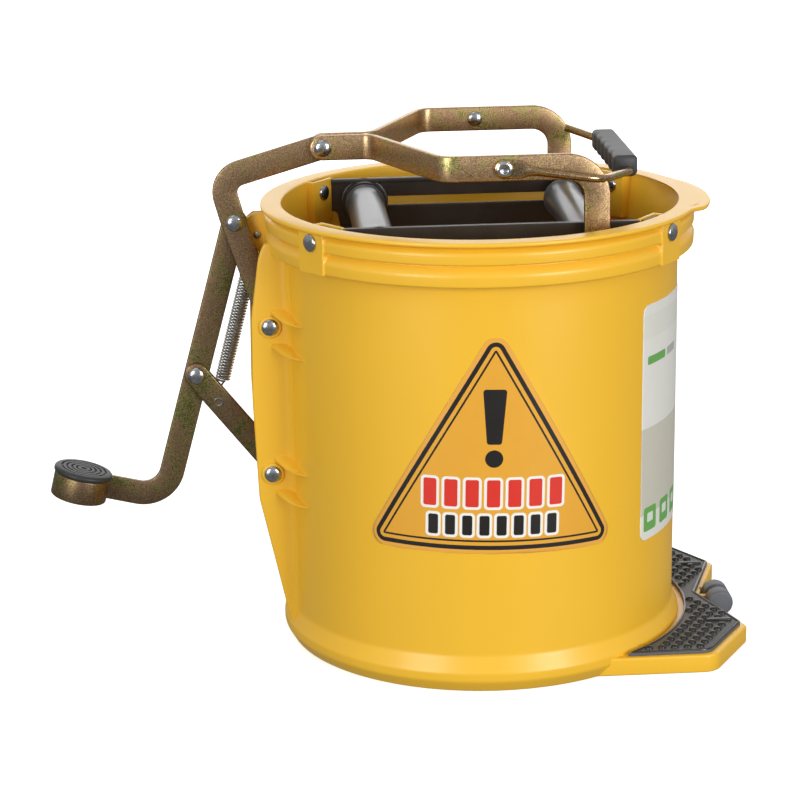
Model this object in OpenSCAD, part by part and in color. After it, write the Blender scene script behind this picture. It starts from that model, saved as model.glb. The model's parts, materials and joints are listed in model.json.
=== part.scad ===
// Round mop bucket with a pedal wringer: two rollers, a bell crank, a yoke and a carrying bail.
// Origin: centre of the bucket's base, on the floor. +X points to the spout and the foot step.

/* [Bucket] */
// Height of the rim above the floor
rim_z = 343.4; // [335:0.2:360]
// Outer radius of the wall just above the foot
wall_r = 150.6; // [148:0.2:152]
// Thickness of the moulded wall
wall_t = 3.2; // [2.6:0.1:3.6]
// Outer radius of the rim flange
rim_r = 166.3; // [165:0.1:170]
// Radius of the foot where it meets the floor
foot_r = 150.4; // [146:0.2:151]
// How far the pouring spout leans out of the round rim
spout_out = 11; // [8:0.5:12]

/* [Step] */
// Length of the step from the bucket's centre to its tips
step_x = 200; // [196:0.5:206]
// Half width of the step
step_y = 131; // [128:0.5:134]
// Height of the moulded step under its rubber pad
step_h = 14; // [13:0.5:15]
// Radius of the small transport roller
wheel_r = 10.5; // [9.5:0.1:10.8]

/* [Wringer] */
// Height of both roller axles
roller_z = 323.5; // [322:0.5:325]
// Radius of the rollers
roller_r = 14.5; // [13:0.1:15]
// Place of the fixed roller
fixed_x = -82; // [-84:0.5:-80]
// Place of the moving roller at rest
moving_x = 76; // [75:0.5:77]
// Distance of the side plates from the middle plane
plate_y = 95; // [94:0.5:96]

/* [Linkage] */
// Width of the flat steel bars
bar_w = 19; // [17:0.5:20]
// Thickness of the flat steel bars
bar_t = 5; // [4.5:0.1:5]
// Distance of the yoke arms from the middle plane
yoke_y = 106; // [105:0.5:107]
// Radius of the pivot shanks
pin_r = 4; // [3.5:0.1:4.2]

/* [Hidden] */
$fn = 96;
fit = 0.05;
gap = 0.2;
inner_r = wall_r - wall_t;
mouth_r = 150.4;
floor_z = 9;
rib_r = 164;
rivet_angle = 36.6;
pocket_r = 142.6;
fin_y = 29;
fin_t = 5;
boss_h = 2;
// Linkage pivots, as X and Z
crank_pivot = [-162, 255];
strut_pivot = [-163, 139];
knee = [-186, 329];
shin = [-219, 210];
tip = [-118, 385.5];
spring_eye = [-203, 189];
spring_hook = [-169, 317];
spring_y = 14;
spring_r = 6;
wire_r = 0.8;
bail_eye = [8, 385.5];
eye_t = 3;
bail_y = yoke_y + bar_t / 2 + gap + eye_t / 2;
bail_r = 3;
eye_pin_r = 3;
wire_y = yoke_y + bar_t / 2 + 2 * gap + bail_r;
lever_y = bar_t + gap;
pedal_tilt = 14;
pedal_r = 21.5;
pedal_c = [-313, lever_y + bar_t / 2 - pedal_r, 128.5];
shin_slack = 2.2;
arm_end_z = 304;
slot_half = 6.8;
wheel_at = [190, 11];
wheel_pin_r = 2;
wheel_out = 15;
wheel_wall = 2;
tongue_t = 5;
axle_r = 4;
axle_end_r = 3.3;
plate_t = 3;
hook_pin_r = 2;
eyelet_r = 2.2;
plate_rivet_z = 333;
plate_rivet_r = 3;

function unit(v) = v / norm(v);
function side_of(v) = [-v.y, v.x];

// Arc that rounds the corner b of the path a, b, c
function corner(a, b, c, r, n) =
  let (u = unit(a - b), w = unit(c - b), half = acos(u * w) / 2)
  let (m = b + unit(u + w) * r / sin(half), p = b + u * r / tan(half), q = b + w * r / tan(half))
  let (a0 = atan2(p.y - m.y, p.x - m.x), a1 = atan2(q.y - m.y, q.x - m.x))
  let (turn = (a1 - a0 + 540) % 360 - 180)
  [for (i = [0:n]) m + r * [cos(a0 + turn * i / n), sin(a0 + turn * i / n)]];

function flat(p) = [p.x, p.y];

// Closed outline with rounded corners: each point is x, y, radius
function rounded(pts, n = 5) =
  let (k = len(pts))
  [for (i = [0:k - 1])
    let (a = pts[(i + k - 1) % k], b = pts[i], c = pts[(i + 1) % k])
    each (b.z == 0 ? [flat(b)] : corner(flat(a), flat(b), flat(c), b.z, n))];

// Open path with rounded inner corners
function bent(pts, n = 8) =
  let (k = len(pts))
  [for (i = [0:k - 1])
    let (b = pts[i])
    each ((i == 0 || i == k - 1 || b.z == 0) ? [flat(b)]
      : corner(flat(pts[i - 1]), flat(b), flat(pts[i + 1]), b.z, n))];

// Direction of a path at one of its points
function heading(p, i) = unit(p[min(i + 1, len(p) - 1)] - p[max(i - 1, 0)]);

// Outline of a strip of width w along a path
function strip(p, w) = concat(
  [for (i = [0:len(p) - 1]) p[i] + side_of(heading(p, i)) * w / 2],
  [for (i = [len(p) - 1:-1:0]) p[i] - side_of(heading(p, i)) * w / 2]);

// Lays a drawing made in X and Z flat against the plane at y, t thick
module upright(y, t) {
  translate([0, y + t / 2, 0]) rotate([90, 0, 0]) linear_extrude(t) children();
}

// Cylinder along Y from y0 to y1
module rod(p, r, y0, y1) {
  translate([p.x, y0, p.y]) rotate([-90, 0, 0]) cylinder(r = r, h = y1 - y0);
}

// Flat bar on edge with round ends
module flat_bar(path, y, w = bar_w, t = bar_t) {
  upright(y, t) polygon(strip(path, w));
  for (p = [path[0], path[len(path) - 1]]) rod(p, w / 2, y - t / 2, y + t / 2);
}

// Domed head that grows from z = 0, as a turned profile
module dome(r, h, n = 6) {
  rotate_extrude() polygon(concat([[0, 0]], [for (i = [0:n]) [r * cos(90 * i / n), h * sin(90 * i / n)]]));
}

// Rivet along Y with a dome at each end
module rivet(p, y0, y1, shank, head, h) {
  rod(p, shank, y0 - 0.1, y1 + 0.1);
  translate([p.x, y0, p.y]) rotate([90, 0, 0]) dome(head, h);
  translate([p.x, y1, p.y]) rotate([-90, 0, 0]) dome(head, h);
}

module both_sides() {
  children();
  mirror([0, 1, 0]) children();
}

module four_corners() {
  both_sides() {
    children();
    mirror([1, 0, 0]) children();
  }
}

// Outline of the step in plan, drawn inset by d
function step_outline(d = 0) = rounded([
  [60, step_y - d - 4, 0], [80, step_y - d, 0], [165 - d, step_y - d, 16],
  [step_x - d, 72 - d / 2, 5 - d / 2],
  [176 - d, 0, 0], [step_x - d, -72 + d / 2, 5 - d / 2], [165 - d, -step_y + d, 16], [80, -step_y + d, 0],
  [60, -step_y + d + 4, 0]]);

// Half section of the base disc, with the lower half of the foot
foot_side = foot_r + 4.78;
base_profile = [[0, 0], [foot_r, 0], [foot_r + 4, 6], [foot_side, floor_z], [0, floor_z]];

// Half section of the wall, with the upper half of the foot
shoulder_z = 307.5;
shoulder_r = wall_r + 1.2;
throat_r = inner_r + 1.8;
wall_profile = [
  [foot_side, floor_z], [foot_r + 5.3, 11], [foot_r + 5.3, 15], [foot_r + 4, 18.5], [foot_r + 1.6, 22],
  [wall_r, 28], [shoulder_r, shoulder_z], [throat_r, shoulder_z], [inner_r + 1.2, 300],
  [inner_r, floor_z + 6], [inner_r - 2, floor_z + 2], [inner_r - 6, floor_z]];

// Half section of the rim, with two ribs and the flange
groove_r = rib_r - 5;
rim_profile = [
  [shoulder_r, shoulder_z], [rib_r - 1, 310.5], [rib_r, 312], [rib_r, 319], [groove_r, 323.5],
  [groove_r, 326],
  [rib_r - 1, 326.6], [rib_r, 328], [rib_r, 334.5], [groove_r, 338], [groove_r, rim_z - 3.7],
  [rim_r - 1, rim_z - 3.4], [rim_r, rim_z - 2.6], [rim_r, rim_z - 0.6], [rim_r - 0.8, rim_z],
  [mouth_r, rim_z], [mouth_r, 322],
  [throat_r, shoulder_z]];

// Everything inside the outer surface of base, wall and rim
module outer_solid() {
  rotate_extrude() polygon(concat(
    [for (i = [0:3]) base_profile[i]], [for (i = [1:6]) wall_profile[i]],
    [for (i = [1:13]) rim_profile[i]], [[0, rim_z]]));
}

// Moulded ear that carries the linkage pins, seen from the front
ear_outline = rounded([
  [-146, 14, 0], [-152.5, 12, 0], [-174, 119, 20], [-177, 199, 60], [-176, 262, 30],
  [-168, 318, 3], [-150, 318, 0]]);

module ear() {
  difference() {
    union() {
      upright(-fin_y - fin_t / 2, fin_t) polygon(ear_outline);
      for (p = [crank_pivot, strut_pivot]) rod(p, 8.5, -fin_y - fin_t - boss_h, -fin_y - 0.1);
      for (p = [crank_pivot, strut_pivot]) for (dz = [16, -11])
        translate([-162, -fin_y - fin_t + 0.5, p.y + dz]) rotate([0, 33, 0])
          linear_extrude(3) polygon([[0, 0], [22, 0], [25, -27], [12, -9]]);
    }
    for (p = [crank_pivot, strut_pivot]) rod(p, pin_r + gap, -fin_y - 20, -fin_y + 1);
  }
}

// Pocket that holds a side plate's bent end, at the rim's corner
module pocket() {
  rotate(rivet_angle) difference() {
    translate([pocket_r, -13, 308]) cube([9.4, 26, rim_z - 308]);
    translate([145.4, -10.5, 311]) cube([3.4, 30, rim_z]);
  }
}

module bucket_base() {
  color("gold") difference() {
    rotate_extrude() polygon(base_profile);
    // shallow recess under the base, with spokes
    difference() {
      translate([0, 0, -1]) cylinder(r = 138, h = 6);
      translate([0, 0, -2]) cylinder(r = 30, h = 8);
      for (a = [0:45:135]) rotate(a) translate([-140, -1.5, -2]) cube([280, 3, 8]);
    }
  }
}

module bucket_wall() {
  color("gold") rotate_extrude() polygon(wall_profile);
}

module bucket_rim() {
  color("gold") difference() {
    union() {
      difference() {
        union() {
          rotate_extrude() polygon(rim_profile);
          translate([spout_out, 0, rim_z - 3.4]) cylinder(r = rim_r - 3.3, h = 3.4);
          four_corners() rotate(rivet_angle) translate([151, -14, 311])
            cube([rib_r + 0.6 - 151, 28, rim_z - 311.4]);
        }
        translate([0, 0, rim_z - 4]) cylinder(r = mouth_r, h = 5);
        translate([spout_out, 0, 313]) cylinder(r1 = inner_r - spout_out, r2 = mouth_r, h = rim_z - 313);
        translate([spout_out, 0, rim_z - 0.01]) cylinder(r = mouth_r, h = 2);
      }
      four_corners() pocket();
    }
    // clearance for the ends of the side plates
    both_sides() translate([-113.5, plate_y - plate_t / 2 - 0.3, 300]) cube([227, plate_t + 0.6, 60]);
    four_corners() rotate(rivet_angle) translate([130, 0, plate_rivet_z])
      rotate([0, 90, 0]) cylinder(r = plate_rivet_r + gap, h = 40);
  }
}

// The two linkage ears and the two lugs of the return spring
module bucket_ears() {
  color("gold") difference() {
    union() {
      both_sides() ear();
      for (y = [-3.8, 3.8]) upright(spring_y + y, 2.4)
        polygon([[-148, 303], [-168, 303], [-177, 312], [-177, 330], [-148, 330]]);
    }
    outer_solid();
    rod(spring_hook, hook_pin_r + gap, spring_y - 7, spring_y + 7);
  }
}

module bucket_step() {
  color("gold") difference() {
    union() {
      linear_extrude(step_h) polygon(step_outline());
      // tongue between the two halves of the transport roller
      upright(0, tongue_t)
        polygon([[160, 1], [190, 1], [195, 6], [195, 12], [188, 15.5], [181, step_h], [160, step_h - 0.5]]);
    }
    outer_solid();
    // hollow under the step, open to the floor
    difference() {
      translate([0, 0, -1]) linear_extrude(step_h - 2) polygon(step_outline(3.2));
      translate([0, 0, -2]) cylinder(r = foot_r + 8, h = step_h + 4);
      translate([150, -15, -2]) cube([60, 30, step_h + 4]);
      for (y = [-75, 75]) translate([100, y - 1.2, -2]) cube([120, 2.4, step_h + 4]);
    }
    rod(wheel_at, wheel_pin_r + gap, -tongue_t, tongue_t);
    both_sides() rod(wheel_at, wheel_r + 0.6, tongue_t / 2, wheel_out + 0.8);
  }
}

// Rubber pad on the step, with round studs and one raised bar on each wing
module step_pad() {
  stud_pitch = 10.5;
  color("dimgray") {
    difference() {
      translate([0, 0, step_h]) linear_extrude(2.5) polygon(step_outline(4));
      translate([0, 0, step_h - 1]) cylinder(r = 160.5, h = 5);
      translate([60, -140, step_h - 1]) cube([36, 280, 5]);
    }
    both_sides() for (i = [0:9], j = [0:11]) {
      x = 104 + i * stud_pitch + (j % 2) * stud_pitch / 2;
      y = 24 + j * stud_pitch * 0.87;
      off_wall = norm([x, y]) > 165.5;
      off_edge = y < step_y - 8 && x < 176 - 9 + y / 3.3 && (x - 165) / 34 + (y - 131) / 58 < -0.18;
      near_bar = abs(x - 180) < 13 && abs(y - 66) < 5;
      if (off_wall && off_edge && !near_bar)
        translate([x, y, step_h + 2.4]) cylinder(r1 = 2.7, r2 = 2.1, h = 2.3, $fn = 20);
    }
    both_sides() translate([170, 64.5, step_h + 2.4]) cube([19, 3, 1.8]);
  }
}

// Two half rollers, closed outside, that snap onto the ends of one axle
module transport_roller() {
  color("slategray") difference() {
    both_sides() rod(wheel_at, wheel_r, tongue_t / 2 + 0.4, wheel_out);
    rod(wheel_at, wheel_pin_r + fit, wheel_wall - wheel_out, wheel_out - wheel_wall);
  }
}

module transport_axle() {
  axle_half = wheel_out - wheel_wall - 0.3;
  color("silver") rod(wheel_at, wheel_pin_r, -axle_half, axle_half);
}

// Side plate of the wringer, with the slot in which the moving axle slides
plate_outline = rounded([
  [-113, rim_z - 1.4, 0], [-113, 316, 3], [-104, 316, 4], [-98, 286, 12], [98, 286, 12], [104, 316, 4],
  [113, 316, 3], [113, rim_z - 1.4, 0]]);

module side_plate() {
  slot_r = 3.5;
  difference() {
    union() {
      upright(-plate_y, plate_t) polygon(plate_outline);
      upright(-plate_y + 2.5, plate_t)
        polygon([[-108, 339], [-108, rim_z - 1.4], [108, rim_z - 1.4], [108, 339]]);
      for (m = [0, 1]) mirror([m, 0, 0]) difference() {
        rotate(-rivet_angle) translate([146, -11.9, 316]) cube([2.4, 21.9, rim_z - 317.4]);
        rotate(-rivet_angle) translate([140, 0, plate_rivet_z])
          rotate([0, 90, 0]) cylinder(r = plate_rivet_r + gap, h = 12);
      }
    }
    for (x = [-65, moving_x]) rod([x, roller_z], slot_r, -plate_y - 5, -plate_y + 8);
    translate([-65, -plate_y - 5, roller_z - slot_r]) cube([moving_x + 65, 13, 2 * slot_r]);
    rod([fixed_x, roller_z], axle_r + gap, -plate_y - 5, -plate_y + 8);
  }
}

module front_side_plate() { color("#2b2b2b") side_plate(); }
module rear_side_plate() { color("#2b2b2b") mirror([0, 1, 0]) side_plate(); }

module plate_rivets() {
  color("silver") four_corners() rotate(rivet_angle) translate([0, 0, plate_rivet_z]) rotate([0, 0, -90])
    rivet([0, 0], pocket_r - 0.1, rib_r + 0.7, plate_rivet_r, 6.6, 2.4);
}

// Roller sleeve with a thicker collar at each end
module roller(x) {
  difference() {
    union() {
      rod([x, roller_z], roller_r, -82, 82);
      for (y = [-84, 81]) rod([x, roller_z], roller_r + 1.2, y, y + 3);
    }
    rod([x, roller_z], axle_r + fit, -90, 90);
  }
}

module fixed_roller() { color("#3a3d40") roller(fixed_x); }
module moving_roller() { color("#3a3d40") roller(moving_x); }
module fixed_axle() {
  color("silver") rivet([fixed_x, roller_z], -plate_y - plate_t, plate_y + plate_t, axle_r, 6.5, 2);
}

// Bush between a roller and its side plate
module bush(x, r, y0, y1, bore) {
  difference() {
    rod([x, roller_z], r, y0, y1);
    rod([x, roller_z], bore, y0 - 1, y1 + 1);
  }
}

module fixed_roller_bushes() {
  color("#262626") both_sides() bush(fixed_x, 17, 84.4, plate_y - 4.2, axle_r + gap);
}

module moving_axle() {
  color("silver") {
    rod([moving_x, roller_z], axle_r, -90, 90);
    both_sides() rod([moving_x, roller_z], axle_end_r, 89, yoke_y + 8);
  }
}

module slide_bushes() { color("#262626") both_sides() bush(moving_x, 8, 84.4, 90.6, axle_r + fit); }
module axle_sleeves() {
  color("#c0a060") both_sides() bush(moving_x, 6, plate_y + 2, yoke_y - 3, axle_end_r + fit);
}

module axle_clips() {
  color("silver") both_sides() bush(moving_x, 6.5, yoke_y + 3, yoke_y + 4.6, axle_end_r + fit);
}

crank_path = bent([[tip.x, tip.y, 0], [-196, 363, 22], [-188, 333, 10], [crank_pivot.x, crank_pivot.y, 0]]);

module bell_crank() {
  color("#8c7a3a") difference() {
    flat_bar(crank_path, 0);
    for (p = [crank_pivot, tip]) rod(p, pin_r + fit, -9, 9);
    rod(knee, pin_r + gap, -9, 9);
  }
}

module long_pin(p) { rivet(p, -fin_y - fin_t - boss_h, fin_y + fin_t + boss_h, pin_r, 6.6, 3); }
module spacers(p) {
  both_sides() difference() {
    rod(p, 7, bar_t / 2 + gap, fin_y - gap);
    rod(p, pin_r + gap, 0, fin_y + 1);
  }
}

module crank_pin() { color("silver") long_pin(crank_pivot); }
module crank_spacers() { color("gray") spacers(crank_pivot); }
module strut_pin() { color("silver") long_pin(strut_pivot); }
module strut_spacers() { color("gray") spacers(strut_pivot); }
module knee_rivet() { color("silver") rivet(knee, -bar_t / 2, lever_y + bar_t / 2 + gap, pin_r, 6.6, 3); }

lever_path = bent([[knee.x, knee.y, 0], [-247, 110.5, 26], [-291, 121, 0]]);

// Pedal lever, with its lower end rolled into a ring
module pedal_lever() {
  color("#8c7a3a") difference() {
    union() {
      upright(lever_y, bar_t) polygon(strip(lever_path, bar_w));
      rod(knee, bar_w / 2, lever_y - bar_t / 2, lever_y + bar_t / 2);
      translate(pedal_c) rotate([0, pedal_tilt, 0]) difference() {
        union() {
          cylinder(r = pedal_r, h = bar_w, center = true);
          translate([0, pedal_r - bar_t + 0.5, -bar_w / 2 + 0.3]) cube([24, bar_t - 1, bar_w - 0.6]);
        }
        cylinder(r = pedal_r - bar_t, h = bar_w + 2, center = true);
        rotate(-38) translate([pedal_r - bar_t - 1, -0.6, -bar_w]) cube([bar_t + 3, 1.2, 2 * bar_w]);
      }
    }
    rod(knee, pin_r + fit, 0, 12);
    rod(shin, pin_r + shin_slack, 0, 12);
  }
}

// Plug cap that closes the ring and is stepped on
module pedal_cap() {
  color("#1c1c1c") translate(pedal_c) rotate([0, pedal_tilt, 0]) difference() {
    union() {
      translate([0, 0, -4]) cylinder(r = pedal_r - bar_t - gap, h = bar_w / 2 + 4.2);
      translate([0, 0, bar_w / 2 + 0.1]) cylinder(r1 = pedal_r + 0.7, r2 = pedal_r + 0.9, h = 2.6);
      translate([0, 0, bar_w / 2 + 2.7]) cylinder(r1 = pedal_r + 0.9, r2 = pedal_r - 1, h = 1.4);
    }
    for (r = [4:4:16]) translate([0, 0, bar_w / 2 + 3.3]) difference() {
      cylinder(r = r + 1, h = 2);
      translate([0, 0, -1]) cylinder(r = r - 0.6, h = 4);
    }
  }
}

module strut() {
  color("#8c7a3a") difference() {
    flat_bar([shin, strut_pivot], 0);
    rod(strut_pivot, pin_r + fit, -9, 9);
    rod(shin, pin_r + gap, -9, 9);
    rod(spring_eye, eyelet_r + gap, -9, 9);
  }
}

// Rivet at the open pivot: its rear head spans the lever's wide hole
module shin_rivet() {
  color("silver") {
    rod(shin, pin_r, -bar_t / 2 - 0.1, lever_y + bar_t / 2 + gap + 0.1);
    translate([shin.x, -bar_t / 2, shin.y]) rotate([90, 0, 0]) dome(6.6, 3);
    translate([shin.x, lever_y + bar_t / 2 + gap, shin.y]) rotate([-90, 0, 0]) dome(9, 2.6);
  }
}

module spring_eyelet() {
  color("silver") {
    rod(spring_eye, eyelet_r, -bar_t / 2 - 1, spring_y + 2.5);
    rod(spring_eye, 3.6, -bar_t / 2 - 1.4, -bar_t / 2);
    rod(spring_eye, 3.8, spring_y + 2.4, spring_y + 3.8);
  }
}

module spring_anchor() {
  color("silver") rivet(spring_hook, spring_y - 5.2, spring_y + 5.2, hook_pin_r, 3, 1);
}

// Extension spring: the coil as a plain tube, with a loop at each end
module return_spring() {
  axis = spring_eye - spring_hook;
  l = norm(axis);
  loop_r = 3.4;
  coil_from = 17.5;
  coil_end = 11;
  color("lightgray") translate([spring_hook.x, spring_y, spring_hook.y])
    rotate([0, 90 + atan2(-axis.y, axis.x), 0]) {
      difference() {
        translate([0, 0, coil_from]) cylinder(r = spring_r, h = l - coil_from - coil_end);
        translate([0, 0, coil_from - 1]) cylinder(r = spring_r - 2 * wire_r, h = l);
      }
      for (z = [0, l]) translate([0, 0, z]) rotate([90, 0, 0])
        rotate_extrude() translate([loop_r, 0]) circle(r = wire_r, $fn = 24);
      translate([0, 0, loop_r]) cylinder(r = wire_r, h = coil_from + 0.4 - loop_r, $fn = 24);
      translate([0, 0, l - coil_end - 0.4]) cylinder(r = wire_r, h = coil_end + 0.4 - loop_r, $fn = 24);
      for (z = [coil_from, l - coil_end - 1.6])
        translate([-spring_r + 1, -wire_r, z]) cube([2 * spring_r - 2, 2 * wire_r, 1.6]);
    }
}

yoke_plan = bent([[tip.x, lever_y, 0], [-81, lever_y, 9], [-36, yoke_y, 12], [34, yoke_y, 0]]);
arm_path = bent([[30, tip.y, 0], [moving_x, tip.y, 36], [moving_x, arm_end_z, 0]], 10);

// One arm of the yoke: bent outwards in plan, then down to the moving axle
module yoke_bar() {
  slot_w = 2 * (axle_end_r + 1.5);
  difference() {
    union() {
      translate([0, 0, tip.y - bar_w / 2]) linear_extrude(bar_w) polygon(strip(yoke_plan, bar_t));
      rod(tip, bar_w / 2, lever_y - bar_t / 2, lever_y + bar_t / 2);
      upright(yoke_y, bar_t) polygon(strip(arm_path, bar_w));
      rod([moving_x, arm_end_z], bar_w / 2, yoke_y - bar_t / 2, yoke_y + bar_t / 2);
    }
    rod(tip, pin_r + gap, 0, 20);
    rod(bail_eye, eye_pin_r + gap, yoke_y - 9, yoke_y + 9);
    for (dz = [-slot_half, slot_half]) rod([moving_x, roller_z + dz], slot_w / 2, yoke_y - 9, yoke_y + 9);
    translate([moving_x - slot_w / 2, yoke_y - 9, roller_z - slot_half]) cube([slot_w, 18, 2 * slot_half]);
  }
}

module yoke_front_bar() { color("#8c7a3a") mirror([0, 1, 0]) yoke_bar(); }
module yoke_rear_bar() { color("#8c7a3a") yoke_bar(); }
module tip_rivet() { color("silver") rivet(tip, -lever_y - bar_t / 2, lever_y + bar_t / 2, pin_r, 6.6, 3); }

// Points of one half of the bail's wire, from its eye to the middle of the grip
bail_half = [
  [bail_eye.x + 8, wire_y, bail_eye.y - 1], [80, wire_y, 376.4], [107, 62, 372.3], [107, 0, 372.3]];

module wire_run(a, b, r) {
  d = b - a;
  translate(a) rotate([0, acos(d.z / norm(d)), atan2(d.y, d.x)]) cylinder(r = r, h = norm(d), $fn = 32);
}

module bail_wire() {
  color("#a8893c") both_sides() difference() {
    union() {
      for (i = [0:2]) wire_run(bail_half[i], bail_half[i + 1], bail_r);
      for (i = [1:2]) translate(bail_half[i]) sphere(r = bail_r + 0.2, $fn = 32);
      rod(bail_eye, 8, bail_y - eye_t / 2, bail_y + eye_t / 2);
      translate([bail_eye.x, bail_y - eye_t / 2, bail_eye.y - 5]) rotate([0, 7, 0]) cube([16, eye_t, 10]);
    }
    rod(bail_eye, eye_pin_r + fit, 0, bail_y + 9);
    translate([-20, 0, 300]) cube([60, bail_y - eye_t / 2, 120]);
  }
}

module bail_grip() {
  color("#202022") difference() {
    upright(0, 116) polygon(rounded([[95, 367, 5], [113, 367, 5], [113, 383, 4], [95, 383, 4]]));
    rod([107, 372.3], bail_r + gap, -70, 70);
    for (y = [-42:14:42]) rod_across([93.2, y, 366]);
  }
}

// Finger groove across the grip's lower left edge
module rod_across(p) {
  translate(p) rotate([0, 45, 0]) cylinder(r = 5, h = 30, center = true, $fn = 32);
}

module bail_rivets() {
  color("silver") both_sides() {
    rod(bail_eye, eye_pin_r, yoke_y - bar_t / 2 - 0.1, bail_y + 1.8);
    translate([bail_eye.x, yoke_y - bar_t / 2, bail_eye.y]) rotate([90, 0, 0]) dome(6, 2.6);
    translate([bail_eye.x, bail_y + 1.7, bail_eye.y]) rotate([-90, 0, 0]) dome(5.4, 2.2);
  }
}

// Sheet that follows the wall, cut by the outline given as a child
module wall_sheet(angle, t = 0.4) {
  rotate(angle) intersection() {
    rotate_extrude() polygon([for (p = [[0.1, 60], [t, 60], [t, 285], [0.1, 285]])
      [wall_r + 1.2 * (p.y - 28) / 264 + p.x, p.y]]);
    translate([0, -100, 0]) rotate([90, 0, 0]) linear_extrude(100) children();
  }
}

// Three-sided floor sign, set a little askew on the wall
module floor_decal() {
  side = 201;
  low_z = 108;
  tall = side * sin(60);
  color("orange") wall_sheet(-1.7) translate([0, low_z + tall / 2]) rotate(-1.2)
    polygon(rounded([[-side / 2, -tall / 2, 10.5], [side / 2, -tall / 2, 10.5], [0, tall / 2, 10.5]]));
}

module side_label() {
  color("white") wall_sheet(63.5)
    polygon(rounded([[-44, 96, 7], [44, 96, 7], [44, 279, 7], [-44, 279, 7]]));
}

bucket_base();
bucket_wall();
bucket_rim();
bucket_ears();
bucket_step();
step_pad();
transport_roller();
transport_axle();
front_side_plate();
rear_side_plate();
plate_rivets();
fixed_roller();
fixed_axle();
fixed_roller_bushes();
moving_roller();
moving_axle();
slide_bushes();
axle_sleeves();
axle_clips();
bell_crank();
crank_pin();
crank_spacers();
knee_rivet();
pedal_lever();
pedal_cap();
strut();
strut_pin();
strut_spacers();
shin_rivet();
spring_eyelet();
spring_anchor();
return_spring();
yoke_front_bar();
yoke_rear_bar();
tip_rivet();
bail_wire();
bail_grip();
bail_rivets();
floor_decal();
side_label();
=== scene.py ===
"""Looks of a round mop bucket with a pedal wringer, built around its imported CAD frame."""

import json
import math

import bmesh
import bpy
from bpy.props import FloatProperty, FloatVectorProperty, IntProperty, PointerProperty
from mathutils import Matrix, Vector
from mathutils.geometry import tessellate_polygon


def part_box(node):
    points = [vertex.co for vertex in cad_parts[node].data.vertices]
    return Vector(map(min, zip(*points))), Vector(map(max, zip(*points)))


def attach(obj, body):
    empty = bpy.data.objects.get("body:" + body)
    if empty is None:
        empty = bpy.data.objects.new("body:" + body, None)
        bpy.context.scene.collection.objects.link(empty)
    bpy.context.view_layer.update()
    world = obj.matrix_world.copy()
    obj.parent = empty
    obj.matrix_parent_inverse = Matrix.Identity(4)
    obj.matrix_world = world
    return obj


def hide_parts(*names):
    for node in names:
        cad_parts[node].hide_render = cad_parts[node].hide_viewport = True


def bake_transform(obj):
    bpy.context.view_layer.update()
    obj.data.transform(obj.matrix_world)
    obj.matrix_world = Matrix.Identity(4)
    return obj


bl_info = {
    "name": "Wringer Mop Bucket",
    "version": (1, 0, 0),
    "blender": (4, 5, 0),
    "location": "View3D > Sidebar > Mop Bucket",
    "description": "Builds the visible pieces of a wringer mop bucket on its packed frame",
    "category": "Object",
}

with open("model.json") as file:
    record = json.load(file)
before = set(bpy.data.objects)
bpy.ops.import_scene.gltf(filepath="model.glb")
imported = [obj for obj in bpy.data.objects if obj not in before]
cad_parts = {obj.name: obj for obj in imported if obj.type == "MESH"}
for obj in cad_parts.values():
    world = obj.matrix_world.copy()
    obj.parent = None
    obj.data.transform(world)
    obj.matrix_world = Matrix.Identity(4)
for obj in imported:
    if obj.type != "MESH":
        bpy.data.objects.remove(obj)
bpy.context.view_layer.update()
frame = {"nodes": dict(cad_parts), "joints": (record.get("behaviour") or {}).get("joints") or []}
MM = 0.001

UP = Vector((0, 0, 1))
BACK = Vector((0, 1, 0))


def millimetres(metres):
    return metres / MM


def node_box(node):
    """Lowest and highest corner of a CAD node, in millimetres."""
    low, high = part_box(node)
    return low / MM, high / MM


def node_centre(node):
    low, high = node_box(node)
    return (low + high) / 2


PIVOTS = {j["name"]: Vector(j["pos_m"]) / MM for j in frame["joints"] if j.get("pos_m")}
CRANK_AT = PIVOTS["crank_press"]
STRUT_AT = PIVOTS["strut_swing"]
KNEE_AT = PIVOTS["lever_swing"]
TIP_AT = PIVOTS["yoke_swing"]
BAIL_AT = PIVOTS["bail_swing"]
WHEEL_AT = PIVOTS["transport_spin"]
FIXED_AT = PIVOTS["fixed_roller_spin"]
MOVING_AT = PIVOTS["moving_roller_spin"]
SHIN_AT = node_centre("shin_rivet")
SPRING_EYE_AT = node_centre("spring_eyelet")
SPRING_HOOK_AT = node_centre("spring_anchor")
PEDAL_AT = node_centre("pedal_cap") - Vector((1.2, 0, 4.7))
GRIP_LOW, GRIP_HIGH = node_box("bail_grip")
RIM_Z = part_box("bucket_rim")[1].z
RIVET_ANGLE = math.radians(36.6)
PAD_PLANE = 164.6
LIP_START = 296.0
PEDAL_TILT = math.radians(14)
BUCKET_NODES = ("bucket_base", "bucket_wall", "bucket_rim", "bucket_ears", "bucket_step")


# ---------------------------------------------------------------- settings a user would change


def length(name, description, default, low=0.0, high=1.0):
    return FloatProperty(name=name, description=description, default=default, min=low, max=high,
                         unit="LENGTH", subtype="DISTANCE", precision=4)


def share(name, description, default):
    return FloatProperty(name=name, description=description, default=default, min=0.0, max=1.0, subtype="FACTOR")


def tint(name, description, default):
    return FloatVectorProperty(name=name, description=description, default=default, size=3,
                               min=0.0, max=1.0, subtype="COLOR")


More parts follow.
